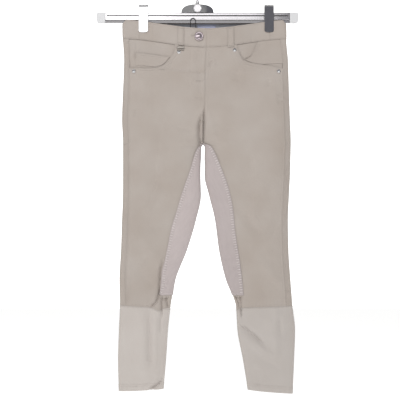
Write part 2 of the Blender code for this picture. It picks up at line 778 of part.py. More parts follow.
def hanging_loop():
    """A thin cord loop, sewn to the lining. It comes forward under the bar and stands up in front of it."""
    def sewn(x):
        turn = turn_at("left", x, CORD_DROP, "back")
        inward = outward("left", turn, CORD_DROP) * (LINING_FACE - LAYER_GAP - CORD_RADIUS)
        return surface("left", turn, CORD_DROP) + inward

    def rise(x, lean):
        """One side of the loop. lean is how far its top has moved towards the middle of the loop."""
        foot = sewn(x)
        under = BAR_Z + BAR_LIP_BOTTOM - 2.5
        return [
            foot,
            foot + Vector((0, -0.6, 4)),
            Vector((x, 7.5, under - 1.0)),
            Vector((x, 0.0, under)),
            Vector((x, CORD_FRONT + 1.3, under + 3.0)),
            Vector((x, CORD_FRONT, under + 7.0)),
            Vector((x + lean * 0.25, CORD_FRONT, BAR_Z - 3.6)),
            Vector((x + lean * 0.6, CORD_FRONT, BAR_Z - 1.8)),
        ]

    width = CORD_X[1] - CORD_X[0]
    points = rise(CORD_X[0], width / 2) + rise(CORD_X[1], -width / 2)[::-1]
    wire("hanging_loop", CORD, points, CORD_RADIUS, sides=2)


# ---------------------------------------------------------------- hanger
def hanger():
    half, lip = BAR_DEPTH / 2, BAR_LIP_DEPTH / 2
    right = [
        (lip, BAR_LIP_BOTTOM), (lip, BAR_BODY_BOTTOM), (half, BAR_BODY_BOTTOM + 1.5),
        (half, BAR_GROOVE_Z - BAR_GROOVE), (half - 1.0, BAR_GROOVE_Z), (half, BAR_GROOVE_Z + BAR_GROOVE),
        (half, BAR_BODY_TOP - 2.0), (half - 2.0, BAR_BODY_TOP),
    ]
    outline = [(y, BAR_Z + z) for y, z in right] + [(-y, BAR_Z + z) for y, z in reversed(right)]
    bar_half = BAR_LENGTH / 2 - CAP_LENGTH - GAP
    prism("hanger_bar", ALLOY, outline, bar_half, 0.0)
    for name, side in (("hanger_cap_left", -1), ("hanger_cap_right", 1)):
        top, bottom, deep = BAR_BODY_TOP + 0.6, BAR_LIP_BOTTOM - 0.4, half + 0.8
        box = [(deep, bottom), (deep, top), (-deep, top), (-deep, bottom)]
        centre = side * (BAR_LENGTH - CAP_LENGTH) / 2
        prism(name, PLASTIC, [(y, BAR_Z + z) for y, z in box], CAP_LENGTH / 2, centre, bevel=2.0)

    inside = half + LAYER_GAP
    jaw = CLIP_CLOTH_HALF + BAND_CLOTH + 0.5
    arch = [(inside * math.sin(a), CLIP_TOP - CLIP_METAL - inside + inside * math.cos(a))
            for a in spread(0, math.pi / 2, 5)]
    leg = arch + [(inside, BAR_BODY_BOTTOM), (jaw, BAR_BODY_BOTTOM - 7.0), (jaw, -CLIP_BOTTOM + 3),
                  (jaw + 1.2, -CLIP_BOTTOM)]
    path = [(-y, z) for y, z in reversed(leg[1:])] + leg
    for name, centre in (("hanger_clip_left", CLIP_LEFT_X), ("hanger_clip_right", CLIP_RIGHT_X)):
        mesh = bpy.data.meshes.new(name)
        sides = (centre - CLIP_WIDTH / 2, centre + CLIP_WIDTH / 2)
        points = [(x * MM, y * MM, (BAR_Z + z) * MM) for y, z in path for x in sides]
        faces = [(2 * k, 2 * k + 2, 2 * k + 3, 2 * k + 1) for k in range(len(path) - 1)]
        mesh.from_pydata(points, [], faces)
        made = add(name, mesh, STEEL)
        shell = made.modifiers.new("Solidify", "SOLIDIFY")
        shell.thickness = CLIP_METAL * MM
        shell.offset = -1.0
        shell.use_even_offset = True

    seat = BAR_Z + BAR_BODY_TOP + GAP
    turns = spread(0, math.pi, 18)
    arc = [(BRACKET_WIDTH / 2 * math.cos(a), BRACKET_HEIGHT * math.sin(a)) for a in turns]
    curve = bpy.data.curves.new("hook_bracket", "CURVE")
    curve.dimensions = "2D"
    curve.fill_mode = "BOTH"
    curve.extrude = BRACKET_DEPTH / 2 * MM
    spline = curve.splines.new("POLY")
    spline.points.add(len(arc) - 1)
    for point, (x, z) in zip(spline.points, arc):
        point.co = (x * MM, z * MM, 0, 1)
    spline.use_cyclic_u = True
    curve.materials.append(STEEL)
    bracket = bpy.data.objects.new("hook_bracket", curve)
    PARTS.objects.link(bracket)
    bracket.rotation_euler = (math.pi / 2, 0, 0)
    bracket.location = (0, 0, seat * MM)
    weld = bracket.modifiers.new("Weld", "WELD")
    weld.merge_threshold = 0.00001
    soft = bracket.modifiers.new("Bevel", "BEVEL")
    soft.width = 1.5 * MM
    soft.segments = 2
    soft.limit_method = "ANGLE"

    collar_foot = seat + BRACKET_HEIGHT + GAP
    radius, height = COLLAR_RADIUS, COLLAR_HEIGHT
    profile = [(0.0, height), (radius - 1.5, height), (radius, height - 1.5), (radius, 0.0), (0.0, 0.0)]
    turned("hook_collar", STEEL, profile, Vector((0, 0, collar_foot)), Vector((0, 0, 1)))

    # The wire rises from the collar, swings out to the right and runs over the top to its open end.
    centre = Vector((0, 0, HOOK_WIRE / 2 - HOOK_RADIUS))
    foot = Vector((0, 0, collar_foot + COLLAR_HEIGHT + GAP))
    points = [foot, foot + Vector((0, 0, 3))]
    for angle in spread(math.radians(HOOK_FOOT_ANGLE), math.radians(HOOK_TAIL_ANGLE), 24):
        points.append(centre + Vector((math.cos(angle), 0, math.sin(angle))) * HOOK_RADIUS)
    wire("hook", STEEL, points, HOOK_WIRE / 2, sides=2)


# ---------------------------------------------------------------- the part
for old in list(bpy.data.objects):
    bpy.data.objects.remove(old, do_unlink=True)

PARTS = bpy.data.collections.new("riding_breeches")
bpy.context.scene.collection.children.link(PARTS)

TWILL = material("stretch_twill", (0.47, 0.42, 0.385), 0.9)
SUEDE = material("seat_suede", (0.55, 0.50, 0.475), 0.95)
RIB = material("cuff_knit", (0.54, 0.50, 0.47), 0.9)
LINING = material("band_lining", (0.26, 0.28, 0.33), 0.85)
LABEL = material("blank_label", (0.28, 0.30, 0.40), 0.7)
CORD = material("loop_cord", (0.02, 0.02, 0.025), 0.7)
ZIP = material("zip_tape", (0.40, 0.36, 0.33), 0.7)
STEEL = material("polished_steel", (0.62, 0.62, 0.63), 0.18, 1.0)
ALLOY = material("bright_alloy", (0.80, 0.80, 0.81), 0.3, 1.0)
PLASTIC = material("cap_plastic", (0.82, 0.82, 0.82), 0.45)

for each_leg in ("left", "right"):
    front_panel(each_leg)
    back_panel(each_leg)
    seat_patch(each_leg)
    cuff(each_leg)
waistband()
pocket_pieces()
for each_loop in BELT_LOOPS:
    belt_loop(each_loop)
fly()
hardware()
hanging_loop()
hanger()
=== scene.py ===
# %% [markdown]
# # Riding breeches on a clip hanger
#
# Full-seat riding breeches hang open and empty from a metal hanger whose two clips grip the waistband. The
# frame loaded below is the solid model of the same part: plain walls of the true size and place. This script
# dresses it. Every piece here lies where its solid lies and replaces it, with the finer form and the finish
# of the real thing. Lengths are written in millimetres and turned into metres where a mesh is made.

# %% Load the frame
import json
import math
from collections import namedtuple

import bmesh
import bpy
import numpy as np
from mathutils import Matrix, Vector

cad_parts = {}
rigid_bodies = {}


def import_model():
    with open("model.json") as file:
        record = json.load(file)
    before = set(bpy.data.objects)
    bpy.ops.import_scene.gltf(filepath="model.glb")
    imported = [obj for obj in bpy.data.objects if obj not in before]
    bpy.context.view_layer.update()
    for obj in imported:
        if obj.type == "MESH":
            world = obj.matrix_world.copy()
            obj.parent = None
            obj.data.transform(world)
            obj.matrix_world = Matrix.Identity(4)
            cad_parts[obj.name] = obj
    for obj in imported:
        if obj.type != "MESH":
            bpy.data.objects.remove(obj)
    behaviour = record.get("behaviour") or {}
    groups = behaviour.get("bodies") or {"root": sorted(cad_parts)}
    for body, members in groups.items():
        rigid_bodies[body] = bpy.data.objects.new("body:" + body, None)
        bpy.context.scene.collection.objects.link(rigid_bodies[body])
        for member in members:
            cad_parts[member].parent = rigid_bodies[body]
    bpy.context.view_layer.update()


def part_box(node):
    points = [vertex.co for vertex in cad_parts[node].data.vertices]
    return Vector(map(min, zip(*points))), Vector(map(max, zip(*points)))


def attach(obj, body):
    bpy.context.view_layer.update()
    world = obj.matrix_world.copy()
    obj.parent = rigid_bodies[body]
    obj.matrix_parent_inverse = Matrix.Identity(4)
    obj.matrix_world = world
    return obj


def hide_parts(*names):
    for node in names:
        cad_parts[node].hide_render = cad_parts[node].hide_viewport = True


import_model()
MM = 0.001


def in_mm(lengths):
    return [round(length / MM, 1) for length in lengths]


def link(name, data):
    """Adds an object with this data to the scene."""
    made = bpy.data.objects.new(name, data)
    bpy.context.collection.objects.link(made)
    return made


# %% [markdown]
# ## Camera
#
# The camera stands level, straight in front, with a longish lens so that the legs don't splay. Its distance
# follows from the width that the picture takes in. The colours go to the picture as they are, with the
# Standard view, so that the cloth's pale greys stay pale.

# %% Make the camera
VIEW_WIDTH = 920.0
VIEW_CENTRE = (5.75, -516.0)
LENS, SENSOR = 85.0, 36.0

camera = link("camera", bpy.data.cameras.new("camera"))
camera.data.lens, camera.data.sensor_width = LENS, SENSOR
distance = VIEW_WIDTH * LENS / SENSOR
camera.location = (VIEW_CENTRE[0] * MM, -distance * MM, VIEW_CENTRE[1] * MM)
camera.rotation_euler = (math.pi / 2, 0, 0)
bpy.context.scene.camera = camera
bpy.context.scene.view_settings.view_transform = "Standard"
print("camera:", round(distance), "mm in front")

# %% [markdown]
# ## Node helper
#
# A shader is a chain of small nodes. One helper adds a node, sets its options and fills its sockets, each
# with a number or with another node's output, so that a material below reads downwards like a recipe.

# %% Make the node helper
def node(tree, kind, sockets=(), **options):
    made = tree.nodes.new(kind)
    for option, value in options.items():
        setattr(made, option, value)
    for socket, value in dict(sockets).items():
        if isinstance(value, bpy.types.NodeSocket):
            tree.links.new(value, made.inputs[socket])
        else:
            made.inputs[socket].default_value = value
    return made


def maths(tree, operation, *values):
    return node(tree, "ShaderNodeMath", dict(enumerate(values)), operation=operation).outputs[0]


print("helpers: node, maths")

# %% [markdown]
# ## Light
#
# A garment like this is shown in a white studio: soft light from all round, a broad lamp in front, a little
# to the left, that models the folds, a weak one behind on the right, and a white backdrop. The world gives
# the light from all round. Seen directly it is brighter, so that the backdrop is white while the cloth isn't
# washed out. Polished steel shows whatever stands beside the camera, so dark cards stand on the right and
# white ones on the left and in the middle. The cards act on reflections only.

# %% Light the scene
WORLD_LIGHT, WORLD_SEEN = 0.38, 1.6
KEY_PLACE, KEY_SIZE, KEY_WATTS = (-600, -2600, 1500), 1700, 70.0
RIM_PLACE, RIM_SIZE, RIM_WATTS = (1900, 900, 500), 1200, 14.0
LOOK_AT = Vector((0, 0, -500))
FLOOR_Z = -1350.0

world = bpy.data.worlds.new("studio")
world.use_nodes = True
bpy.context.scene.world = world
tree = world.node_tree
tree.nodes.clear()
seen = node(tree, "ShaderNodeLightPath").outputs["Is Camera Ray"]
strength = maths(tree, "MULTIPLY_ADD", seen, WORLD_SEEN - WORLD_LIGHT, WORLD_LIGHT)
sky = node(tree, "ShaderNodeBackground", {"Color": (1.0, 0.995, 0.99, 1), "Strength": strength})
node(tree, "ShaderNodeOutputWorld", {"Surface": sky.outputs[0]})


def lamp(name, place, size, watts):
    light = bpy.data.lights.new(name, "AREA")
    light.size, light.energy = size * MM, watts
    made = link(name, light)
    made.location = Vector(place) * MM
    made.rotation_euler = (LOOK_AT - Vector(place)).to_track_quat("-Z", "Y").to_euler()
    return made


# Polished steel would mirror the key as one white sheet, so it only mirrors the cards and the room.
lamp("key", KEY_PLACE, KEY_SIZE, KEY_WATTS).visible_glossy = False
lamp("rim", RIM_PLACE, RIM_SIZE, RIM_WATTS)
print("lights: world, key, rim")

# %% Make the floor and the cards
FLOOR_GLOW, CARD_GLOW, PAPER_GLOW = 0.61, 1.6, 0.85
FLOOR_SIZE = (9000, 9000)
CARD_Y = -1200           # a little over half of the way to the camera


def plain(name, colour, roughness, glow=0.0):
    made = bpy.data.materials.new(name)
    made.use_nodes = True
    shader = made.node_tree.nodes["Principled BSDF"]
    shader.inputs["Base Color"].default_value = (*colour, 1)
    shader.inputs["Roughness"].default_value = roughness
    shader.inputs["Emission Color"].default_value = (1, 1, 1, 1)
    shader.inputs["Emission Strength"].default_value = glow
    return made


def card(name, place, size, finish, turn=(0, 0, 0)):
    """A plane this wide and deep, which isn't part of the object."""
    bpy.ops.mesh.primitive_plane_add(size=1, location=Vector(place) * MM, rotation=turn)
    made = bpy.context.object
    made.scale = (size[0] * MM, size[1] * MM, 1)
    made.name = name
    made.data.materials.append(finish)
    bpy.ops.object.transform_apply(location=True, rotation=True, scale=True)
    return made


bpy.ops.object.select_all(action="DESELECT")
card("floor", (0, 600, FLOOR_Z), FLOOR_SIZE, plain("floor_paint", (0.93, 0.93, 0.92), 0.8, FLOOR_GLOW))
upright = (math.pi / 2, 0, 0)
felt = plain("grey_felt", (0.20, 0.20, 0.225), 1.0)
board = plain("white_board", (0.9, 0.9, 0.9), 0.9, CARD_GLOW)
paper = plain("pale_paper", (0.6, 0.6, 0.62), 0.9, PAPER_GLOW)
for name, x, z, size, finish in (("dark_card", 800, 232, (1000, 1000), felt),
                                 ("dark_card_high", 231, 590, (142, 290), felt),
                                 ("white_card_left", -700, 160, (1200, 280), board),
                                 ("white_card_middle", 70, 190, (340, 220), paper)):
    made = card(name, (x, CARD_Y, z), size, finish, upright)
    made.visible_camera = made.visible_diffuse = made.visible_shadow = False
print("stage: floor at", FLOOR_Z, "mm, two dark cards on the right and two white ones")

# %% [markdown]
# ## The cloth surface
#
# Both halves of the breeches are flattened tubes, so a place on the cloth needs two numbers only: turn,
# which goes 0 to 1 over the front from the centre to the outer fold and 1 to 2 over the back to the centre
# again, and drop, the way down from the waist. One function turns those into a point. Panels, patches,
# pockets and every stitch use it, so they share each fold. It works on whole arrays at once, because a
# panel has thousands of points. First come the curves: short tables of sizes, read with a smooth curve that
# never overshoots them.

# %% Make the small maths and the curves
def smooth(value):
    """Eases from 0 to 1."""
    value = np.clip(value, 0, 1)
    return value * value * (3 - 2 * value)


def bell(away, width):
    """1 at no distance, and next to nothing beyond twice the width."""
    return np.exp(-((away / width) ** 2))


def track(*rows):
    """A smooth curve through (drop, value) rows. Gives the value at any drop, or at an array of them."""
    at, value = np.array(rows, float).T
    slope = np.diff(value) / np.diff(at)
    both = slope[:-1] + slope[1:]
    level = slope[:-1] * slope[1:] <= 0
    between = np.where(level, 0, 2 * slope[:-1] * slope[1:] / np.where(level, 1, both))
    tangent = np.concatenate([slope[:1], between, slope[-1:]])

    def read(drop):
        drop = np.clip(drop, at[0], at[-1])
        i = np.clip(np.searchsorted(at, drop, side="right") - 1, 0, len(at) - 2)
        span = at[i + 1] - at[i]
        t = (drop - at[i]) / span
        low, high = value[i], value[i + 1]
        bend = (t**3 - 2 * t**2 + t) * tangent[i] + (t**3 - t**2) * tangent[i + 1]
        return low + (3 * t**2 - 2 * t**3) * (high - low) + span * bend

    return read


# Drops at which the outline is given: over the seat, at the crotch, and down the legs.
SEAT_DROPS, LEG_DROPS = (0, 45, 91, 160, 229, 281), (356, 402, 459, 528, 597, 631, 658, 712, 781, 858)


def given_at(drops, *values):
    return track(*zip(drops, values, strict=True))


OUTER_DROPS, INSEAM_DROPS = (*SEAT_DROPS, 291, *LEG_DROPS), (281, 291, *LEG_DROPS)
OUTER = {
    "left": given_at(OUTER_DROPS, -171, -170.2, -167.8, -170.2, -172.5, -170.2, -170.2, -170.2, -170.4,
                     -172.5, -174.8, -178.4, -177.6, -177.2, -179.4, -181.4, -179.4),
    "right": given_at(OUTER_DROPS, 202.2, 203, 207, 209.3, 211.6, 213.6, 213.4, 211.6, 209.3, 207, 208.2,
                      212.7, 215.4, 217.3, 223, 220.8, 217.3),
}
CENTRE_SEAM = given_at(SEAT_DROPS, 19.6, 19.4, 17.3, 17, 16.1, 12.7)
INSEAM = {
    "left": given_at(INSEAM_DROPS, 12.55, 5.2, 4, 5.2, -6.3, -27, -53.4, -59, -63.3, -69.1, -73.7, -80.6),
    "right": given_at(INSEAM_DROPS, 12.85, 20.1, 19, 29.3, 43.1, 52.3, 68.4, 82, 89.8, 93.2, 105.9, 118.5),
}
DEPTH_DROPS = (*SEAT_DROPS, *LEG_DROPS)
FRONT_DEPTH = given_at(DEPTH_DROPS, 15, 17, 19, 21, 22, 21.6, 19, 17, 16, 15, 14, 13, 13, 12, 10, 9)
BACK_DEPTH = given_at(DEPTH_DROPS, 14, 16, 20, 25, 28, 27.4, 23, 21, 19, 17, 15, 15, 14, 13, 11, 9)
MOUTHS = {
    "left": ((43, 71), (63, 73), (72, 78), (83, 84), (95, 93), (102, 104), (108, 123), (111.5, 176)),
    "right": ((43, 70), (54, 73), (70, 79), (82, 87.5), (91, 102), (98.5, 124), (104.5, 147), (110, 171),
              (113, 188)),
}
MOUTH_OUT = {leg: track(*rows) for leg, rows in MOUTHS.items()}
LEGS = ("left", "right")
SIDE = {"left": -1, "right": 1}
print("waist:", round(float(OUTER["right"](0) - OUTER["left"](0))), "mm flat")

# %% [markdown]
# ## Folds
#
# A fold in hanging cloth is a soft ridge or trough along a line. Each one here is a short line of (x, drop)
# points with a half width and a height, placed where the real garment creases, uneven in length, depth and
# spacing. It is steeper on one side and dies away at its ends. The large folds are the ones that the solids
# have too. The creases are finer and belong to this dressed model: drag lines from the crotch, the knee's
# bend, the cuffs' buckles, and similar ones on the back.

# %% Place the folds
Fold = namedtuple("Fold", "face half_width height line")


def folds(face, *rows):
    """Folds on one face. A row is a half width, a height, and the (x, drop) points of its line."""
    return [Fold(face, half_width, height, line) for half_width, height, *line in rows]


LARGE_FOLDS = folds(
    "front",
    (11, 2.2, (-96, 384), (-116, 428)), (20, -2.4, (-62, 250), (-104, 470)),
    (14, 2.0, (-138, 492), (-84, 560)), (13, -2.0, (-150, 560), (-100, 610)),
    (11, 2.6, (-128, 672), (-127, 800)), (8, -2.6, (-108, 660), (-109, 780)),
    (8, 2.0, (-78, 812), (-94, 846)), (12, -2.4, (104, 446), (136, 482)), (13, 2.2, (150, 380), (128, 448)),
    (13, 2.0, (150, 560), (190, 606)), (9, -2.6, (98, 706), (152, 744)), (11, 2.6, (178, 666), (180, 764)),
    (9, 2.0, (14, 206), (-10, 262)), (9, 2.0, (18, 206), (38, 264))) + folds(
    "back",
    (14, -3.0, (-120, 300), (-20, 330)), (14, -3.0, (150, 296), (60, 332)),
    (12, 2.4, (-130, 350), (-60, 372)), (12, 2.4, (168, 356), (96, 380)),
    (13, -2.6, (-150, 520), (-80, 548)), (12, 2.2, (-146, 560), (-96, 590)),
    (13, -2.6, (186, 516), (110, 552)), (12, 2.2, (184, 574), (120, 600)),
    (11, 2.2, (-140, 690), (-138, 800)), (11, 2.2, (160, 680), (166, 790)))
CREASES = folds(
    "front",
    # the left leg's front: a long drag line from the crotch, the hip, and the knee
    (11, -1.4, (-74.8, 199), (-84, 252), (-94, 318), (-104, 380), (-113, 424), (-119, 452)),
    (3.6, -1.3, (-92, 352), (-98, 384), (-106, 408), (-116, 434)),
    (12, -1.0, (-132, 133), (-133, 168), (-131, 202)), (13, 0.9, (-111.5, 128), (-112, 190), (-109, 250)),
    (3.6, -1.4, (-142.4, 203), (-144, 215), (-146.7, 226)),
    (6, -1.4, (-115, 540), (-124, 556), (-130, 570)), (8, -1.8, (-162, 563), (-160, 615), (-163, 664)),
    (4.2, -4.6, (-77.7, 540), (-81.7, 563), (-84.9, 586), (-86, 609), (-87.6, 626), (-92, 643), (-105, 657)),
    (6, 1.9, (-85, 634), (-90, 647), (-97.8, 657)), (3, -3.6, (-81.6, 620), (-81.6, 650), (-80, 692)),
    (3, -4.4, (-73, 632), (-70, 648), (-66, 664)),
    (3.6, -4.0, (-84.5, 608), (-86.5, 632), (-92, 646), (-103, 656), (-114, 663)),
    (3, -3.4, (-90, 636), (-76, 640), (-60, 635)), (5, -1.9, (-88, 590), (-75, 598), (-60, 593)),
    (4, -1.6, (-86, 616), (-76, 611), (-64, 617)), (9, -0.9, (-60, 455), (-84, 474), (-112, 484)),
    # the left cuff: ridges and troughs that run down it
    (4.5, -1.5, (-109, 664), (-110, 735), (-109, 807)), (7, 1.5, (-96.6, 670), (-97.5, 735), (-96, 800)),
    (3.6, -2.0, (-84, 668), (-84.5, 697), (-84, 723)),
    (4.6, -4.8, (-70, 808), (-82, 829), (-96, 841), (-120, 852)),
    (6, 1.6, (-86, 800), (-97, 826), (-118, 846)), (9, -1.3, (-152, 676), (-154, 740), (-150, 812)),
    # the right cuff: one deep buckle that slants down from the inside
    (3.8, -4.2, (86, 690), (96, 700), (109, 706), (118.5, 713), (132, 724), (156, 747)),
    (8, 1.6, (96, 716), (120, 732), (150, 756), (190, 782)), (3, -2.2, (86, 662), (89, 682), (94, 702)),
    (11, -1.5, (112, 742), (146, 772), (196, 806)), (9, 1.1, (162, 671), (171, 726), (183, 758)),
    (8, -1.7, (187, 671), (190, 703), (192, 735)), (3, -5.0, (99, 626), (100, 655), (102, 690)),
    (3, -3.8, (76, 633), (92, 638), (108, 634)), (3.4, -4.8, (78, 624), (88, 636), (94, 650), (96, 672)),
    (10, -1.2, (126, 790), (139, 818), (143, 846)),
    # the right leg's front
    (9, -1.0, (107, 448), (115, 459), (123, 468)), (4, -1.4, (61, 548), (69, 549), (77, 548)),
    (4.5, -1.7, (79, 565), (88, 566), (98, 565)), (4, -1.6, (178, 176), (189, 172), (199, 169.5)),
    (4, -1.5, (180, 190), (190, 188), (199, 188)), (6, -1.3, (163.8, 134), (163, 145), (164, 155)),
    (8, -1.5, (88, 103), (90, 122), (93, 142)), (16, -1.8, (116, 300), (118, 345), (114, 392)),
    (12, -0.9, (60, 240), (84, 268), (120, 282)), (10, -1.0, (196, 430), (180, 466), (168, 506)),
    (11, -1.0, (188, 600), (166, 622), (140, 634)),
    # the pocket, the fly and the crotch
    (2.6, -3.6, (100, 85.5), (109, 81.5), (121, 76), (130, 64)),
    (2.2, -2.8, (98, 54), (100, 68), (104.5, 77), (111, 86)),
    (3.2, -4.6, (-137.2, 43), (-138.4, 56), (-141, 76), (-142.8, 96)),
    (3.6, -1.7, (37.3, 72), (32, 81), (27.4, 97)), (3.4, 0.9, (43, 74), (38, 84), (33, 99)),
    (4, -0.9, (2.4, 104), (4.4, 108.7), (5.4, 113)),
    (3.8, -6.8, (9.5, 212), (6.4, 232), (4.2, 250), (5.6, 272), (10.5, 306)),
    (3.8, -6.8, (15.6, 196), (14.6, 224), (14.2, 252), (13.4, 306)),
    (2.6, -2.6, (5, 228), (13, 234), (23, 239)), (8, -1.1, (-4, 268), (-24, 252), (-52, 246)),
    (8, -1.0, (30, 266), (52, 254), (74, 252))) + folds(
    "back",
    # the back: the seat hangs empty, so it drags down from the waist and buckles over the thighs
    (12, -1.6, (-96, 64), (-88, 120), (-66, 178)), (13, 1.3, (-58, 70), (-54, 128), (-42, 190)),
    (12, -1.5, (134, 60), (122, 118), (98, 182)), (12, 1.2, (92, 74), (88, 130), (74, 186)),
    (9, -1.8, (-132, 236), (-96, 262), (-44, 274)), (9, -1.6, (172, 230), (134, 258), (84, 276)),
    (6, -2.4, (-12, 262), (-34, 292), (-64, 306)), (6, -2.4, (36, 262), (58, 290), (88, 304)),
    (5, 1.6, (2, 236), (-6, 262), (-22, 284)), (5, 1.6, (26, 236), (34, 262), (50, 284)),
    (10, -1.2, (-118, 398), (-98, 436), (-92, 478)), (9, -1.3, (150, 402), (132, 440), (128, 486)),
    (5, -2.0, (-152, 500), (-124, 516), (-88, 518)), (5, -2.1, (-148, 572), (-122, 580), (-92, 572)),
    (5, -2.0, (184, 498), (158, 512), (122, 520)), (5, -2.2, (182, 560), (158, 574), (126, 574)),
    (6, -1.6, (-158, 606), (-138, 628), (-112, 640)), (6, -1.6, (196, 612), (176, 632), (144, 642)),
    (5, -1.9, (-118, 672), (-120, 728), (-116, 792)), (7, 1.4, (-100, 668), (-98, 730), (-102, 806)),
    (5, -1.9, (142, 668), (138, 712), (142, 764)), (6, -1.8, (190, 700), (176, 742), (150, 772)))
print(len(LARGE_FOLDS), "large folds,", len(CREASES), "creases")

# %% Work out how a fold lifts the cloth
def nearest(line, x, drop):
    """Distance to a line of (x, drop) points, the way along it, its whole length, and which side: -1 to 1."""
    best = np.full(np.shape(x), 1e9)
    place, side, walked = np.zeros_like(best), np.zeros_like(best), 0.0
    for (x1, drop1), (x2, drop2) in zip(line[:-1], line[1:]):
        length = math.hypot(x2 - x1, drop2 - drop1)
        along_x, along_drop = (x2 - x1) / length, (drop2 - drop1) / length
        from_x, from_drop = x - x1, drop - drop1
        t = np.clip(from_x * along_x + from_drop * along_drop, 0, length)
        away = np.hypot(from_x - t * along_x, from_drop - t * along_drop)
        across = (along_x * from_drop - along_drop * from_x) / np.maximum(away, 1e-6)
        closer = away < best
        best = np.where(closer, away, best)
        place, side = np.where(closer, walked + t, place), np.where(closer, across, side)
        walked += length
    return best, place, walked, side


REACH = 3.4              # of a fold, in half widths
ONE_SIDED = 0.3          # how much wider a crease is on its gentle side
END_FADE = 0.3           # share of a crease's length over which it dies away


def lift(folds, face, x, drop, uneven):
    """Height that the folds on this face add. uneven is 0 for an even fold, 1 for one that dies away."""
    total = np.zeros(np.shape(x))
    for fold in folds:
        ends = np.array(fold.line)
        room = fold.half_width * REACH
        low, high = ends.min(axis=0) - room, ends.max(axis=0) + room
        near = (face == fold.face) & (x > low[0]) & (x < high[0]) & (drop > low[1]) & (drop < high[1])
        if not near.any():
            continue
        away, place, whole, side = nearest(fold.line, x[near], drop[near])
        fade = 1 - uneven * (1 - smooth(np.minimum(place, whole - place) / (END_FADE * whole)))
        width = fold.half_width * (1 + uneven * ONE_SIDED * side) * (0.6 + 0.4 * fade)
        total[near] += fold.height * (0.2 * (1 - uneven) + fade * (0.8 + 0.2 * uneven)) * bell(away, width)
    return total


print("lift: a fold reaches", REACH, "half widths")

# %% [markdown]
# ## From turn and drop to a point
#
# The tube's section is a flattened round: it rises steeply from its outer edge and stays nearly level over
# the middle. Over the seat both halves are one tube, which pinches in the middle towards the crotch. The
# clips press the waist flat, and the front of the waist sags between them, because it is cut lower than the
# back.

# %% Work out the surface
WAIST_Z = -102.8
CENTRE_X = 19.6
GAP = 0.1
CROTCH_DROP, PINCH_DROP = 281.0, 172.0
EDGE_ROUND, EDGE_POWER, CROWN = 55.0, 2.2, 0.22
BAND_HEIGHT, CUFF_DROP = 43.0, 658.0
FRONT_SAG, BACK_RISE, SAG_REACH, SAG_END_DROP = 21.5, 3.0, 190.0, 215.0
LIP_DIP, LIP_DIP_WIDTH = 8.0, 7.0
CLIP_X = {"left": -124.2, "right": 164.5}
# In a clip: half the depth that is left, how far beside it the cloth is flat and how far it eases, and the
# drops where the grip ends and where the cloth is free.
CLIP_HALF, CLIP_FLAT, CLIP_EASE, CLIP_GRIP, CLIP_FREE = 1.6, 12.5, 92.0, 30.0, 120.0
UNEVEN = 0.35            # mm that no cloth is ever flatter than
CREASE_DEPTH = 1.25      # all the creases deeper or shallower
CREASE_ROOM = 7.0        # mm of depth that a tube needs for its creases to be whole
TURN_STEP, DROP_STEP = 0.01, 0.6
CENTRE_UPRIGHT = 14.0    # mm beside the centre seam where the cloth's thickness doesn't lean


def edges(leg, drop):
    """x of the outer and of the inner edge."""
    inner = np.where(drop <= CROTCH_DROP, CENTRE_SEAM(drop) + SIDE[leg] * GAP / 2, INSEAM[leg](drop))
    return OUTER[leg](drop), inner


def share_across(turn):
    """Share of the way from the inner to the outer edge."""
    return (1 - np.cos(np.pi * turn)) / 2


def rounding(away, reach):
    return (1 - (1 - np.clip(away / reach, 0, 1)) ** EDGE_POWER) ** (1 / EDGE_POWER)


def surface(leg, turn, drop, creased=True):
    """Points on the inside of the cloth, in millimetres."""
    turn, drop = np.broadcast_arrays(np.asarray(turn, float), np.asarray(drop, float))
    outer, inner = edges(leg, drop)
    across = share_across(turn)
    x = inner + (outer - inner) * across
    is_front = turn < 1
    face = np.where(is_front, "front", "back")
    width = np.abs(outer - inner)
    reach = np.minimum(EDGE_ROUND, width / 2)
    closing = np.clip((drop - PINCH_DROP) / (CROTCH_DROP - PINCH_DROP), 0, 1)
    pinch, parted = 1 - np.sqrt(1 - closing**2), smooth(closing)
    from_outer, from_inner = rounding(width * (1 - across), reach), rounding(width * across, reach)
    body = from_outer * (1 - pinch + pinch * from_inner)
    crown = 1 - CROWN * (parted * (2 * across - 1) ** 2 + (1 - parted) * across**2)
    depth = np.where(is_front, FRONT_DEPTH(drop), BACK_DEPTH(drop)) * body * crown
    depth += lift(LARGE_FOLDS, face, x, drop, 0) * from_outer * np.where(pinch > 0, from_inner, 1)
    if creased:
        wave = np.sin(x / 23 + drop / 41 + 1.3 * np.sin(drop / 67)) + np.sin(x / 37 - drop / 29 + turn * 5)
        crease = CREASE_DEPTH * lift(CREASES, face, x, drop, 1)
        depth += (crease + UNEVEN * wave) * smooth(depth / CREASE_ROOM)
    nearest_clip = np.minimum(np.abs(x - CLIP_X["left"]), np.abs(x - CLIP_X["right"]))
    beside = 1 - smooth((nearest_clip - CLIP_FLAT) / (CLIP_EASE - CLIP_FLAT))
    below = 1 - smooth((drop - CLIP_GRIP) / (CLIP_FREE - CLIP_GRIP))
    depth += (CLIP_HALF - depth) * beside * below * smooth(from_outer * 1.6)
    middle = np.cos(np.pi / 2 * np.clip(np.abs(x - CENTRE_X) / SAG_REACH, 0, 1)) ** 2
    fading = 1 - smooth((drop - BAND_HEIGHT) / (SAG_END_DROP - BAND_HEIGHT))
    sag = np.where(is_front, FRONT_SAG, -BACK_RISE) * middle * fading
    at_fold = 1 - smooth(width * (1 - across) / LIP_DIP_WIDTH)
    sag += LIP_DIP * at_fold * (1 - smooth(drop / BAND_HEIGHT))
    return np.stack([x, np.where(is_front, -depth, depth), WAIST_Z - drop - sag], axis=-1)


def unit(ways):
    return ways / (np.linalg.norm(ways, axis=-1, keepdims=True) + 1e-12)


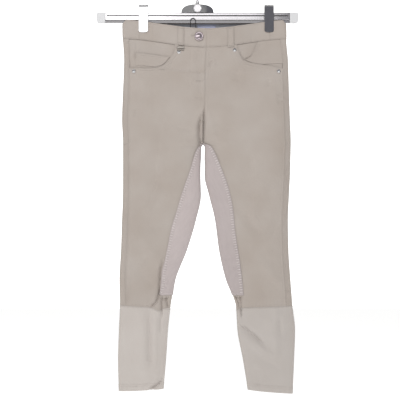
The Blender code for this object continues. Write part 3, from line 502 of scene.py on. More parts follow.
def outward(leg, turn, drop, creased=True):
    """Unit vectors out of the cloth, from points a little to each side."""
    turn, drop = np.broadcast_arrays(np.asarray(turn, float), np.asarray(drop, float))
    is_leg = drop > CROTCH_DROP
    before, after = turn - TURN_STEP, turn + TURN_STEP
    before = np.where(is_leg, before % 2, np.maximum(before, 0))
    after = np.where(is_leg, after % 2, np.minimum(after, np.where(turn < 1, 1, 2)))
    top = np.maximum(drop - DROP_STEP, np.where(is_leg, CROTCH_DROP + 0.01, 0))
    bottom = np.where(is_leg, drop + DROP_STEP, np.minimum(drop + DROP_STEP, CROTCH_DROP))
    round_it = surface(leg, after, drop, creased) - surface(leg, before, drop, creased)
    down_it = surface(leg, turn, bottom, creased) - surface(leg, turn, top, creased)
    out = unit(np.cross(round_it, down_it) * -SIDE[leg])
    # The two halves meet on the centre seam, so near it the cloth's thickness doesn't lean across.
    centre = np.abs(surface(leg, turn, drop, creased)[..., 0] - edges(leg, drop)[1])
    out[..., 0] *= np.where(is_leg, 1, smooth(centre / CENTRE_UPRIGHT))
    return unit(out)


def on_cloth(leg, turn, drop):
    """Points on the inside of the cloth, and the ways out of it there."""
    turn, drop = np.broadcast_arrays(turn, drop)
    return surface(leg, turn, drop), outward(leg, turn, drop)


def turn_at(leg, x, drop, face="front"):
    outer, inner = edges(leg, drop)
    turn = np.arccos(1 - 2 * np.clip((x - inner) / (outer - inner), 0, 1)) / np.pi
    return turn if face == "front" else 2 - turn


def turn_out(leg, out, drop):
    """Turn of the place on the front this far out from the centre seam."""
    return turn_at(leg, edges(leg, drop)[1] + SIDE[leg] * out, drop)


def turn_inset(leg, inset, drop):
    """Turn of the place on the front this far in from the outer edge."""
    return turn_at(leg, edges(leg, drop)[0] - SIDE[leg] * inset, drop)


SIDE_SEAM_INSET, BAND_END_INSET = 13.0, 37.0


def side_turn(leg, drop):
    return turn_inset(leg, SIDE_SEAM_INSET, drop)


hip = surface("left", np.linspace(0, 2, 9), 100)
print("a ring round the left hip, x and y:", [(round(float(p[0])), round(float(p[1]))) for p in hip])

# %% [markdown]
# ## Cutting a piece
#
# Each piece of the garment is a grid of turn and drop, laid on the surface and given its thickness outwards
# with Solidify. The columns stand close together beside a seam, where the relief is fine, and wider apart
# between. Each piece gets a UV map in metres of cloth, so that a weave keeps its true scale round the folds,
# and an attribute that says how near the seam is, by which the cloth is darkened there: wear, and painted
# shade in the seam's groove. A seam has three marks: the groove itself, the raised band where the cloth
# underneath is turned back, and the small puckers that the stitches pull.

# %% Make the columns and rows
BESIDE_SEAM = np.array([0, 0.6, 1.3, 2.1, 3.1, 4.3, 5.5, 6.4, 7.2, 8.2, 9.8, 12.0])


def graded(*stops):
    """Drops at the pitch that each stop gives, up to the next stop. The last stop is only a drop."""
    found = []
    for (drop, pitch), (end, _) in zip(stops[:-1], stops[1:]):
        found += list(np.linspace(drop, end, max(1, round((end - drop) / pitch)), endpoint=False))
    return np.array(found + [stops[-1][0]])


def walk(points):
    """The way walked along each row of points, from its first point."""
    steps = np.linalg.norm(np.diff(points, axis=-2), axis=-1)
    return np.concatenate([np.zeros((*steps.shape[:-1], 1)), np.cumsum(steps, axis=-1)], axis=-1)


def spread(start, end, count):
    """Turns from start to end, a row for each drop."""
    return start[:, None] + (end - start)[:, None] * np.linspace(0, 1, count)


def place_columns(turns, arc, count, seams=(True, True)):
    """Turns of a grid's columns, close at the seams and even between them, and the ways to them."""
    rows, wanted = [], []
    for turn, way in zip(turns, arc):
        near = BESIDE_SEAM * min(1, 0.4 * way[-1] / BESIDE_SEAM[-1])
        first = near if seams[0] else np.zeros(1)
        last = way[-1] - near[::-1] if seams[1] else way[-1:]
        wanted.append(np.concatenate([first, np.linspace(first[-1], last[0], count)[1:-1], last]))
        rows.append(np.interp(wanted[-1], way, turn))
    return np.array(rows), np.array(wanted)


def columns_between(leg, drops, start, end, pitch=2.7, seams=(True, True)):
    """Turns and drops of a grid, and the ways along the cloth from its first and to its last column."""
    turns = spread(start, end, 200)
    arc = walk(surface(leg, turns, drops[:, None], creased=False))
    count = max(2, round(float(arc[:, -1].max()) / pitch)) + 2
    turn, from_start = place_columns(turns, arc, count, seams)
    return turn, np.broadcast_to(drops[:, None], turn.shape), from_start, arc[:, -1:] - from_start


print("rows:", len(graded((43, 0.8), (52, 2.7), (658, 0))), "for a panel of one pitch")

# %% Make the relief of a seam
SEAM_GROOVE, SEAM_RIDGE, SEAM_WIDTH = 0.3, 0.42, 6.6


def sewn(away, along, ridge=SEAM_RIDGE, width=SEAM_WIDTH):
    """Relief at this distance from a seam, in millimetres, at this place along it."""
    groove = -SEAM_GROOVE * bell(away, 1.0)
    turned_back = ridge * smooth((width + 0.7 - away) / 1.4)
    pucker = 0.15 * np.sin(along / 1.45 + 1.7 * np.sin(along / 23)) * np.exp(-away / 6)
    return groove + turned_back + pucker


print("seam: groove", SEAM_GROOVE, "mm, ridge", SEAM_RIDGE, "mm over", SEAM_WIDTH, "mm")

# %% Make a cloth piece
EDGE_SOFT = 0.2          # radius of a cut or folded edge, as a share of the cloth's thickness
SHARP = math.radians(50)
FINISH = "_finish"       # ends a material's name. What comes before it is its slot in the record
SEAM_DARK_WIDTH, NO_SEAM = 1.6, 40.0
areas = {}


def only(made):
    """Selects one object alone and makes it the active one."""
    bpy.ops.object.select_all(action="DESELECT")
    made.select_set(True)
    bpy.context.view_layer.objects.active = made
    return made


def settle(made, name, finish, *nodes, slot=None):
    """Names a finished piece, gives it its material and says which solids it stands for."""
    made.name = made.data.name = name
    made.data.materials.clear()
    made.data.materials.append(finish)
    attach(made, "root")
    if nodes:
        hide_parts(*nodes)
    return made


def modify(made, kind, **settings):
    """Adds a modifier to a piece and applies it."""
    added = made.modifiers.new(kind, kind)
    for setting, value in settings.items():
        setattr(added, setting, value)
    bpy.ops.object.modifier_apply(modifier=added.name)


def sheet(name, finish, points, cloth, seam_away, drop, nodes, closed=False):
    """A cloth piece from a grid of points in millimetres, rows down and columns round, thickened outwards."""
    rows, columns = points.shape[:2]
    round_it = walk(points)
    # The weave is laid out from the middle column, so that it hangs straight there.
    u = round_it - round_it[:, columns // 2, None] + points[:, columns // 2, None, 0]
    index = np.arange(rows * columns).reshape(rows, columns)
    left, right = index, np.roll(index, -1, axis=1)
    if not closed:
        left, right = left[:, :-1], right[:, :-1]
    quads = np.stack([left[:-1], right[:-1], right[1:], left[1:]], axis=-1).reshape(-1, 4)
    quad_points = points.reshape(-1, 3)[quads]
    normals = np.cross(quad_points[:, 2] - quad_points[:, 0], quad_points[:, 3] - quad_points[:, 1])
    # Outwards is towards the front on the front, where y is below 0, and towards the back on the back.
    if (normals[:, 1] * quad_points.mean(axis=1)[:, 1]).sum() < 0:
        quads = quads[:, ::-1]
    mesh = bpy.data.meshes.new(name)
    mesh.from_pydata((points.reshape(-1, 3) * MM).tolist(), [], quads.tolist())
    made = only(link(name, mesh))
    layout = mesh.uv_layers.new(name="cloth")
    corners = np.empty(len(mesh.loops), int)
    mesh.loops.foreach_get("vertex_index", corners)
    flat = np.stack([u.ravel(), np.broadcast_to(drop, u.shape).ravel()], axis=1)[corners] * MM
    around = round_it[:, -1] + (np.linalg.norm(points[:, 0] - points[:, -1], axis=1) if closed else 0)
    if closed:
        # The faces that close the tube run past its last column, and not back to the first.
        past = np.maximum(np.roll(corners, 1) % columns, np.roll(corners, -1) % columns) > columns // 2
        wraps = (corners % columns == 0) & past
        flat[wraps, 0] += around[corners[wraps] // columns] * MM
    layout.data.foreach_set("uv", flat.astype(np.float32).ravel())
    seam_wear_and_shade = np.broadcast_to(bell(seam_away, SEAM_DARK_WIDTH), u.shape)
    mesh.attributes.new("seam", "FLOAT", "POINT").data.foreach_set("value", seam_wear_and_shade.astype(np.float32).ravel())
    modify(made, "SOLIDIFY", thickness=cloth * MM, offset=1)
    modify(made, "BEVEL", width=cloth * EDGE_SOFT * MM, segments=2, limit_method="ANGLE", angle_limit=SHARP)
    bpy.ops.object.shade_smooth_by_angle(angle=SHARP)
    area = float(np.linalg.norm(normals, axis=1).sum() / 2) * MM * MM
    cut = (float(around.max()) * MM, float(np.median(walk(points.swapaxes(0, 1))[:, -1])) * MM)
    settle(made, name, finish, *nodes)
    areas[name] = (round(cut[0], 3), round(cut[1], 3), round(area, 4), len(made.data.polygons))


print("sheets: edges soft over", EDGE_SOFT, "of the cloth")

# %% [markdown]
# ## Effects that several finishes share
#
# Woven and knitted cloth differ in their threads, but all of it varies a little in tone and fuzz, and all
# metal here has the same faint smears. Such an effect is a node group, built once with named inputs, and each
# material sets its own values. A group gives out a colour, a mask or a height. The shader stays outside.

# %% Make the group helper
def group(name, **inputs):
    """A node group that reads a place and these numbers and colours. Gives its tree and its inputs."""
    made = bpy.data.node_groups.new(name, "ShaderNodeTree")
    made.interface.new_socket("Place", in_out="INPUT", socket_type="NodeSocketVector")
    for socket, value in inputs.items():
        kind = "Float" if isinstance(value, float) else "Color"
        added = made.interface.new_socket(socket, in_out="INPUT", socket_type=f"NodeSocket{kind}")
        added.default_value = value
    return made, made.nodes.new("NodeGroupInput").outputs


def give(made, **results):
    """Names a group's outputs and wires each result to its own."""
    for socket, result in results.items():
        kind = "Color" if result.type == "RGBA" else "Float"
        made.interface.new_socket(socket, in_out="OUTPUT", socket_type=f"NodeSocket{kind}")
    last = made.nodes.new("NodeGroupOutput")
    for socket, result in results.items():
        made.links.new(result, last.inputs[socket])
    print("group:", made.name, "gives", *results)


def use(tree, made, **sockets):
    """Places a group in a material and gives its outputs."""
    return node(tree, "ShaderNodeGroup", sockets, node_tree=made).outputs


def noise(tree, place, scale, detail):
    """Soft random values from 0 to 1."""
    made = node(tree, "ShaderNodeTexNoise", {"Vector": place, "Scale": scale, "Detail": detail})
    return made.outputs["Fac"]


def shaded(tree, colour, value, **sockets):
    """A colour made lighter or darker."""
    made = node(tree, "ShaderNodeHueSaturation", {"Color": colour, "Value": value, **sockets})
    return made.outputs["Color"]


print("group helper ready")

# %% Group: uneven tone, as all dyed cloth has
tone, given = group("uneven_tone", Colour=(0.5, 0.5, 0.5, 1), Patches=0.05, Specks=0.05, Seam=0.0,
                    Seam_dark=0.25)
fine = noise(tone, given["Place"], 900.0, 2.0)
uneven = maths(tone, "SUBTRACT", noise(tone, given["Place"], 12.0, 2.5), 0.5)
patches = maths(tone, "MULTIPLY", uneven, given["Patches"])
specks = maths(tone, "MULTIPLY", maths(tone, "SUBTRACT", fine, 0.5), given["Specks"])
# Near a seam the cloth is darkened: wear, and painted shade in the seam's groove.
seam_wear_and_shade = maths(tone, "MULTIPLY", given["Seam"], given["Seam_dark"])
lightness = maths(tone, "SUBTRACT", maths(tone, "ADD", maths(tone, "ADD", patches, specks), 1.0), seam_wear_and_shade)
# Where the cloth is a little darker it is also a little warmer.
warmth = maths(tone, "MULTIPLY_ADD", patches, -2.2, 1.0)
give(tone, Colour=shaded(tone, given["Colour"], lightness, Saturation=warmth), Fuzz=fine)

# %% Group: a twill weave, fine diagonal ribs crossed by the threads of the other way
weave, given = group("twill_weave", Threads=1500.0, Fuzz=0.5)
split = node(weave, "ShaderNodeSeparateXYZ", {"Vector": given["Place"]}).outputs
turns = maths(weave, "MULTIPLY", given["Threads"], 2 * math.pi)
slant = maths(weave, "MULTIPLY", maths(weave, "MULTIPLY_ADD", split["X"], 1.0, split["Y"]),
              maths(weave, "MULTIPLY", turns, 0.55))
cross = maths(weave, "MULTIPLY", split["Y"], turns)
rib = maths(weave, "MULTIPLY_ADD", maths(weave, "SINE", slant), 0.5, 0.5)
thread = maths(weave, "MULTIPLY_ADD", maths(weave, "SINE", cross), 0.22, rib)
give(weave, Height=maths(weave, "MULTIPLY_ADD", given["Fuzz"], 0.7, thread), Rib=rib)

# %% Group: a fine rib knit, with a stitch every so often along each rib
knit, given = group("rib_knit", Threads=620.0, Fuzz=0.5)
split = node(knit, "ShaderNodeSeparateXYZ", {"Vector": given["Place"]}).outputs
turns = maths(knit, "MULTIPLY", given["Threads"], 2 * math.pi)
column = maths(knit, "SINE", maths(knit, "MULTIPLY", split["X"], turns))
rib = maths(knit, "MULTIPLY_ADD", column, 0.5, 0.5)
stitch_at = maths(knit, "MULTIPLY_ADD", maths(knit, "ABSOLUTE", column), 1.6,
                  maths(knit, "MULTIPLY", split["Y"], maths(knit, "MULTIPLY", turns, 1.3)))
stitches = maths(knit, "MULTIPLY_ADD", maths(knit, "SINE", stitch_at), 0.16, rib)
give(knit, Height=maths(knit, "MULTIPLY_ADD", given["Fuzz"], 0.4, stitches), Rib=rib)

# %% Group: the smears and fine scratches of handled metal
smears, given = group("handled_metal", Smooth=0.1, Spread=0.1)
stretched = node(smears, "ShaderNodeMapping", {"Vector": given["Place"], "Scale": (4, 4, 60)}).outputs[0]
scratch = noise(smears, stretched, 60.0, 3.0)
mixed = maths(smears, "MULTIPLY", noise(smears, given["Place"], 90.0, 4.0), scratch)
give(smears, Roughness=maths(smears, "MULTIPLY_ADD", mixed, given["Spread"], given["Smooth"]), Height=scratch)

# %% [markdown]
# ## Finishes
#
# The breeches are one warm grey in several cloths: a dense stretch twill, a paler brushed suede on the seat
# and inner legs, and a still paler fine rib at the shins. Colours are in linear light, as the shader wants
# them. Cloth is matt with a little sheen, which is the light that its fuzz catches at the edges.

# %% Make the cloth finishes
def new_material(name):
    """A material with this slot's name, its tree and its shader."""
    made = bpy.data.materials.new(name + FINISH)
    made.use_nodes = True
    return made, made.node_tree, made.node_tree.nodes["Principled BSDF"]


def bumped(tree, shader, height, bump):
    """Lets a height raise the surface, by bump millimetres at most."""
    raised = node(tree, "ShaderNodeBump", {"Height": height, "Distance": bump * MM, "Strength": 1.0})
    tree.links.new(raised.outputs["Normal"], shader.inputs["Normal"])


def fading(tree, axis, start, end, first, last):
    """A value that goes from first to last between two places on the object's X or Z axis, in metres."""
    at = node(tree, "ShaderNodeTexCoord").outputs["Object"]
    along = node(tree, "ShaderNodeSeparateXYZ", {"Vector": at}).outputs[axis]
    return node(tree, "ShaderNodeMapRange", {"Value": along, "From Min": start, "From Max": end,
                                             "To Min": first, "To Max": last}).outputs[0]


def cloth_finish(name, colour, roughness, sheen, bump, texture=None, threads=0.0, patches=0.05,
                 specks=0.10, rib_shade=0.06, seam_dark=0.22, right_leg_shade=0.0):
    """A cloth material. texture is the group that gives its threads, on the piece's own UV map.

    The last number is how much darker the piece is made on the right leg, as painted shade, as if the lamp on
    the left lit it less.
    """
    made, tree, shader = new_material(name)
    if texture:
        place = node(tree, "ShaderNodeUVMap", uv_map="cloth").outputs[0]
        seam = node(tree, "ShaderNodeAttribute", attribute_name="seam").outputs["Fac"]
    else:
        place, seam = node(tree, "ShaderNodeTexCoord").outputs["Object"], 0.0
    toned = use(tree, tone, Place=place, Colour=(*colour, 1), Patches=patches, Specks=specks, Seam=seam,
                Seam_dark=seam_dark)
    base, height = toned["Colour"], toned["Fuzz"]
    if texture:
        threaded = use(tree, texture, Place=place, Threads=threads, Fuzz=height)
        base = shaded(tree, base, maths(tree, "MULTIPLY_ADD", threaded["Rib"], rib_shade, 1 - rib_shade / 2))
        height = threaded["Height"]
    # Painted shade: the right leg's half is darkened, as if it stood further from the lamp.
    if right_leg_shade:
        base = shaded(tree, base, fading(tree, "X", 0.0, 0.04, 1.0, 1 - right_leg_shade))
    tree.links.new(base, shader.inputs["Base Color"])
    bumped(tree, shader, height, bump)
    shader.inputs["Roughness"].default_value = roughness
    shader.inputs["Specular IOR Level"].default_value = 0.25
    shader.inputs["Sheen Weight"].default_value = sheen
    shader.inputs["Sheen Roughness"].default_value = 0.45
    return made


TWILL = cloth_finish("stretch_twill", (0.389, 0.344, 0.311), 0.86, 0.16, 0.10, weave, 1250.0, patches=0.22,
                     seam_dark=0.10)
RIB = cloth_finish("cuff_knit", (0.484, 0.444, 0.416), 0.88, 0.22, 0.16, knit, 620.0, patches=0.12,
                   rib_shade=0.08, seam_dark=0.12, right_leg_shade=0.10)
# The lining is darkened more at its edges, as painted shade: at its top it stands for the shadow under the
# bar's lip.
LINING = cloth_finish("band_lining", (0.60, 0.62, 0.68), 0.75, 0.10, 0.05, weave, 1600.0, seam_dark=0.3)
# The label's colour is made paler, as painted light, to offset the shade it lies in under the bar.
LABEL = cloth_finish("blank_label", (0.68, 0.72, 0.93), 0.45, 0.20, 0.03, weave, 2400.0, patches=0.02)
CORD = cloth_finish("loop_cord", (0.018, 0.018, 0.022), 0.6, 0.10, 0.05, specks=0.5)
THREAD = cloth_finish("twill_thread", (0.415, 0.370, 0.338), 0.55, 0.10, 0.03)
PALE_THREAD = cloth_finish("suede_thread", (0.620, 0.580, 0.565), 0.55, 0.12, 0.03)
TAPE = cloth_finish("zip_tape", (0.34, 0.31, 0.285), 0.8, 0.08, 0.06, weave, 1400.0)
print("cloth finishes:", [m.name for m in (TWILL, RIB, LINING, LABEL, CORD, THREAD, PALE_THREAD, TAPE)])

# %% [markdown]
# Suede has no threads to see. Its nap lies in soft strokes where hands and saddles have brushed it, so its
# tone comes from a noise that is drawn out along the leg, and its grain from a very fine one.

# %% Make the suede
SUEDE = cloth_finish("seat_suede", (0.450, 0.396, 0.390), 0.93, 0.34, 0.02, weave, 700.0, patches=0.07,
                     specks=0.16, rib_shade=0.0, seam_dark=0.12, right_leg_shade=0.10)
tree = SUEDE.node_tree
shader = tree.nodes["Principled BSDF"]
place = node(tree, "ShaderNodeUVMap", uv_map="cloth").outputs[0]
drawn_out = node(tree, "ShaderNodeMapping", {"Vector": place, "Scale": (1.0, 0.35, 1.0)}).outputs[0]
strokes = noise(tree, drawn_out, 130.0, 5.0)
# Towards the calf it is a little darker.
brushed = maths(tree, "MULTIPLY", maths(tree, "MULTIPLY_ADD", strokes, 0.16, 0.92),
                fading(tree, "Z", -0.74, -0.60, 0.94, 1.0))
base = shader.inputs["Base Color"].links[0].from_socket
tree.links.new(shaded(tree, base, brushed), shader.inputs["Base Color"])
bumped(tree, shader, maths(tree, "MULTIPLY_ADD", strokes, 0.5, noise(tree, place, 1500.0, 3.0)), 0.16)
print("finish:", SUEDE.name)

# %% Make the metal and plastic finishes
NARROW = 3.0             # mm of room under which a place gets painted shade


def hard_finish(name, colour, metallic, smoothness, spread, bump=0.01, recess_shade=0.0):
    """A hard material. The last number is how strongly its narrow places are darkened, as painted shade."""
    made, tree, shader = new_material(name)
    place = node(tree, "ShaderNodeTexCoord").outputs["Object"]
    handled = use(tree, smears, Place=place, Smooth=smoothness, Spread=spread)
    shader.inputs["Base Color"].default_value = (*colour, 1)
    shader.inputs["Metallic"].default_value = metallic
    tree.links.new(handled["Roughness"], shader.inputs["Roughness"])
    if recess_shade:
        # Painted shade: the colour darkens where other surfaces stand close, as ambient occlusion finds them.
        open_to = node(tree, "ShaderNodeAmbientOcclusion", {"Distance": NARROW * MM}, samples=8).outputs["AO"]
        shaded_recesses = shaded(tree, (*colour, 1), maths(tree, "POWER", open_to, recess_shade))
        tree.links.new(shaded_recesses, shader.inputs["Base Color"])
    bumped(tree, shader, handled["Height"], bump)
    return made


STEEL = hard_finish("polished_steel", (0.66, 0.66, 0.67), 1.0, 0.06, 0.12, recess_shade=0.8)
ALLOY = hard_finish("bright_alloy", (0.84, 0.82, 0.84), 1.0, 0.15, 0.08, recess_shade=2.2)
ROSE_STEEL = hard_finish("rose_steel", (0.65, 0.56, 0.59), 1.0, 0.06, 0.12, recess_shade=0.9)
OLD_STEEL = hard_finish("old_steel", (0.36, 0.33, 0.30), 1.0, 0.25, 0.15, recess_shade=1.2)
PLASTIC = hard_finish("cap_plastic", (0.60, 0.60, 0.61), 0.0, 0.30, 0.25, bump=0.03)
print("hard finishes:", [m.name for m in (STEEL, ALLOY, ROSE_STEEL, OLD_STEEL, PLASTIC)])

# %% [markdown]
# ## Fronts
#
# A front runs from the waistband's seam to the cuff's, and from the centre to the side seam. Its upper outer
# corner is cut away in a curve, which is the pocket's mouth. So each row of points ends at the mouth there
# and at the side seam below. The rows stand close together where the mouth turns level. The left front laps
# over the right one down to the fly's end, so it stands a little prouder there and throws a thin shadow.

# %% Cut the fronts
CLOTH = 1.2
PANEL_DROPS = graded((43.3, 0.8), (50, 2.7), (97, 1.2), (103, 0.45), (113, 1.5), (120, 2.7), (276, 1.0),
                     (300, 2.7), (648, 0.9), (CUFF_DROP, 0))
FLY_WIDTH, FLY_END, LAP = 34.0, 150.0, 0.5
LEAN_DROP = 600          # where the rows begin to lean
MOUTH_HEM, MOUTH_HEM_RISE = 9.4, 0.45
MOUTH_FOOT = 118.0       # drop of the mouth's lower corner, where the side seam begins


def half_gap(leg, turn, drop):
    """Half of the gap at a seam, as turn."""
    each_way = [surface(leg, turn + way * TURN_STEP, drop, creased=False) for way in (-1, 1)]
    return GAP * TURN_STEP / np.linalg.norm(each_way[1] - each_way[0], axis=-1)


def off_inseam(drops):
    """Turn by which a panel stays off the inseam."""
    return np.where(drops < CROTCH_DROP, 0.0, 0.003)


# Where the leg's hem has slipped down over the knit: turn, width in turn, and how far.
SLIPPED = {"left": (0.31, 0.08, 6.5), "right": (0.06, 0.13, 5.5)}
CUFF_TILT = {"left": 3, "right": 2}


def cuff_seam(leg, turn):
    """Drop of the seam, which tilts outwards and dips where the leg has slipped."""
    at, width, far = SLIPPED[leg]
    slipped = far * bell((turn - at + 1) % 2 - 1, width)
    return CUFF_DROP + slipped + CUFF_TILT[leg] * (1 - 2 * share_across(turn))


def leaned(leg, turn, drops):
    """The rows' drops, which lean over the last stretch until they follow the cuff's seam."""
    share = smooth((drops - LEAN_DROP) / (CUFF_DROP - LEAN_DROP))[:, None]
    return drops[:, None] + share * (cuff_seam(leg, turn) - GAP / 2 - CUFF_DROP)


def mouth_line(leg):
    """The pocket's mouth as (x, drop) points."""
    drops = np.linspace(MOUTHS[leg][0][0], MOUTHS[leg][-1][0], 50)
    x = edges(leg, drops)[1] + SIDE[leg] * MOUTH_OUT[leg](drops)
    return list(zip(x.tolist(), drops.tolist()))


def panel_seams(leg, turn, drop, x, from_side, from_centre):
    """Relief of the four seams round a panel, and the distance to the nearest one."""
    from_band, from_cuff = drop - BAND_HEIGHT, cuff_seam(leg, turn) - drop
    raised = sewn(from_side, drop, width=3.6) + sewn(from_centre, drop)
    raised += sewn(from_band, x) + sewn(from_cuff, x, 0.3, 4.0)
    return raised, np.minimum.reduce([from_side, from_centre, from_band, from_cuff])


def front(leg):
    drops = PANEL_DROPS
    side = side_turn(leg, drops)
    in_mouth = drops <= MOUTHS[leg][-1][0]
    end = np.where(in_mouth, turn_out(leg, MOUTH_OUT[leg](drops), drops), 2.0)
    end = np.minimum(end, side - half_gap(leg, side, drops))
    turn, _, from_centre, from_end = columns_between(leg, drops, off_inseam(drops), end)
    drop = leaned(leg, turn, drops)
    at, out = on_cloth(leg, turn, drop)
    from_mouth, _, _, _ = nearest(mouth_line(leg), at[..., 0], drop)
    # The columns end at the mouth above and at the side seam below it.
    from_side = from_end + NO_SEAM * smooth((MOUTH_FOOT - drop) / 6)
    raised, away = panel_seams(leg, turn, drop, at[..., 0], from_side, from_centre)
    hemmed = smooth((MOUTH_HEM + 0.7 - from_mouth) / 1.4) * MOUTH_HEM_RISE
    raised += hemmed * smooth((MOUTH_FOOT + 12 - drop) / 8)
    if leg == "left":
        raised += LAP * smooth((FLY_WIDTH - from_centre) / 3) * (1 - smooth((drop - FLY_END) / 36))
    away = np.minimum(away, from_mouth + 30 * smooth((drop - MOUTH_FOOT + 5) / 4))
    sheet(f"front_{leg}", TWILL, at + out * raised[..., None], CLOTH, away, drop,
          nodes=(f"front_panel_{leg}", f"front_lower_{leg}"))


def both_legs(make, name):
    for leg in LEGS:
        make(leg)
        print(f"{name}_{leg}:", areas[f"{name}_{leg}"])


both_legs(front, "front")

# %% [markdown]
# ## Backs
#
# A back is wider than a front, because the side seam lies on the front face. It goes round the outer fold
# and over the seat to the centre. It has no pocket. Most of its relief is in the fold lines above.

# %% Cut the backs
def back(leg):
    drops = graded((43.3, 0.8), (50, 2.8), (276, 1.0), (300, 2.8), (648, 0.9), (CUFF_DROP, 0))
    side = side_turn(leg, drops)
    start = side + half_gap(leg, side, drops)
    turn, _, from_side, from_centre = columns_between(leg, drops, start, 2 - off_inseam(drops), 2.8)
    drop = leaned(leg, turn, drops)
    at, out = on_cloth(leg, turn, drop)
    raised, away = panel_seams(leg, turn, drop, at[..., 0], from_side, from_centre)
    sheet(f"back_{leg}", TWILL, at + out * raised[..., None], CLOTH, away, drop,
          nodes=(f"back_panel_{leg}",))


both_legs(back, "back")

# %% [markdown]
# ## Suede seat
#
# Each half of the seat is one patch of suede. It starts at the knee's front, goes round the inseam and over
# the back of the thigh to the seat, and is laid on the twill just made, with its edges stitched down flat.

# %% Cut the suede patches
PATCH_CLOTH, LAYER = 1.0, 0.35
PATCH_FRONT = {
    "left": track((281, 12.7), (298, -3.5), (344, -17.3), (390, -33.3), (436, -47.2), (482, -61), (528, -70),
                  (574, -79.4), (620, -84), (631, -85)),
    "right": track((281, 12.7), (288, 30), (300, 38), (344, 56.4), (390, 72.5), (436, 81.7), (482, 86.3),
                   (528, 93.2), (574, 100), (620, 105), (631, 106)),
}
PATCH_BACK = track((118, 1.94), (124, 1.72), (150, 1.56), (200, 1.44), (260, 1.40), (340, 1.42), (430, 1.50),
                   (520, 1.56), (631, 1.58))
PATCH_DROPS = graded((118, 0.7), (127, 2.0), (150, 2.8), (272, 0.8), (300, 2.8), (624, 0.8), (631, 0))


def patch_edges(leg, drops):
    """Turns where the patch starts on the back and ends on the front, past 2."""
    on_front = turn_at(leg, PATCH_FRONT[leg](drops), drops)
    return PATCH_BACK(drops), 2 + np.where(drops <= CROTCH_DROP, 0.0, on_front)


def wrapped(turn):
    """A turn that has gone past 2, round the inseam, as the front's turn there."""
    return np.where(turn > 2, turn - 2, turn)


def round_inseam(leg, turn, drop, out):
    """Points this far out from the cloth, where turn may go past 2."""
    at, way = on_cloth(leg, wrapped(turn), drop)
    return at + way * np.asarray(out)[..., None]


def patch_raise(from_back, from_front, drops, along):
    """How far out the patch lies: on the twill, prouder under the crotch, and pressed down at its edges."""
    proud = 0.9 * (1 - smooth((np.abs(along - 302) - 12) / 22)) * smooth((60 - from_front) / 20)
    pressed = 0
    for away in (from_back, from_front, drops[-1] - along):
        pressed = pressed - 0.3 * bell(away, 1.6) + 0.28 * smooth((7.6 - away) / 1.5)
        pressed = pressed + 0.14 * np.sin(along / 1.5 + away) * np.exp(-away / 7)
        pressed = pressed + 0.3 * np.sin(along / 13 + 2 * np.sin(along / 41)) * np.exp(-away / 16)
    return CLOTH + LAYER + 0.35 + proud + pressed


def patch_arcs(leg, drops):
    """Turns from the patch's back edge to its front edge at each drop, and the way to each."""
    turns = spread(*patch_edges(leg, drops), 240)
    return turns, walk(round_inseam(leg, turns, drops[:, None], 0.0))


def patch(leg):
    drops = PATCH_DROPS
    turns, arc = patch_arcs(leg, drops)
    turn, from_back = place_columns(turns, arc, round(float(arc[:, -1].max()) / 2.8))
    # Above the crotch the patch ends on the centre seam, where it isn't hemmed.
    hemmed = arc[:, -1:] - from_back + NO_SEAM * smooth((CROTCH_DROP + 2 - drops) / 4)[:, None]
    drop = np.broadcast_to(drops[:, None], turn.shape)
    raised = patch_raise(from_back, hemmed, drops, drop)
    away = np.minimum.reduce([from_back, hemmed, drops[-1] - drop])
    sheet(f"suede_{leg}", SUEDE, round_inseam(leg, turn, drop, raised), PATCH_CLOTH, away, drop,
          nodes=(f"seat_patch_{leg}",))


both_legs(patch, "suede")

# %% [markdown]
# ## Knitted cuffs
#
# The cuff is a tube of fine rib, wide enough to pull over the calf, so that it hangs in long soft buckles.
# Its seam with the leg is narrow, and its hem is turned up and held by two rows of stitches.

# %% Knit the cuffs
CUFF_CLOTH, HEM_HEIGHT = 1.5, 16.0
CUFF_ROUND = 150         # columns round a cuff
CUFF_LENGTH = 195.0
HEM_TILT = {"left": (-6, 5), "right": (-4, 9)}


def hem_line(leg, turn):
    inner, more = HEM_TILT[leg]
    return CUFF_DROP + CUFF_LENGTH + (inner + more * share_across(turn))


def cuff(leg):
    turn = np.linspace(0, 2, CUFF_ROUND, endpoint=False)[None, :]
    down = graded((0, 0.8), (6, 2.4), (176, 1.2), (CUFF_LENGTH, 0))[:, None] / CUFF_LENGTH
    top, bottom = cuff_seam(leg, turn) + GAP / 2, hem_line(leg, turn)
    drop = top + (bottom - top) * down
    at, out = on_cloth(leg, turn, drop)
    from_hem = bottom - drop
    raised = sewn(drop - top, at[..., 0], 0.3, 4.0) + 0.35 * smooth((HEM_HEIGHT + 0.6 - from_hem) / 1.2)
    raised += 0.3 * np.sin(turn * 47 + 2 * np.sin(turn * 9)) * np.exp(-from_hem / 9)
    sheet(f"knit_cuff_{leg}", RIB, at + out * raised[..., None], CUFF_CLOTH, drop - top, drop, closed=True,
          nodes=(f"cuff_{leg}",))


both_legs(cuff, "knit_cuff")

# %% [markdown]
# ## Waistband
#
# The band is cloth folded double, so it is thicker and its top edge is round. It has two fronts, which meet
# at the button, and one back that reaches round both sides. Where a piece lies on both halves of the garment,
# its columns run on from the left half to the right, and each point is read from its own half.

# %% Make a helper for pieces that lie on both halves
def both(reader, is_left, turn, drop):
    return np.where(is_left[..., None], reader("left", turn, drop), reader("right", turn, drop))


def laid(is_left, turn, drop, out):
    """Points this far out from the cloth, on the half that is_left says."""
    is_left, turn, drop = np.broadcast_arrays(is_left, turn, drop)
    way = both(outward, is_left, turn, drop)
    return both(surface, is_left, turn, drop) + way * np.asarray(out)[..., None]


def at_x(x, drop, face="back"):
    """is_left and turn of the places at these x."""
    is_left = x < edges("left", drop)[1] + GAP / 2
    return is_left, np.where(is_left, turn_at("left", x, drop, face), turn_at("right", x, drop, face))


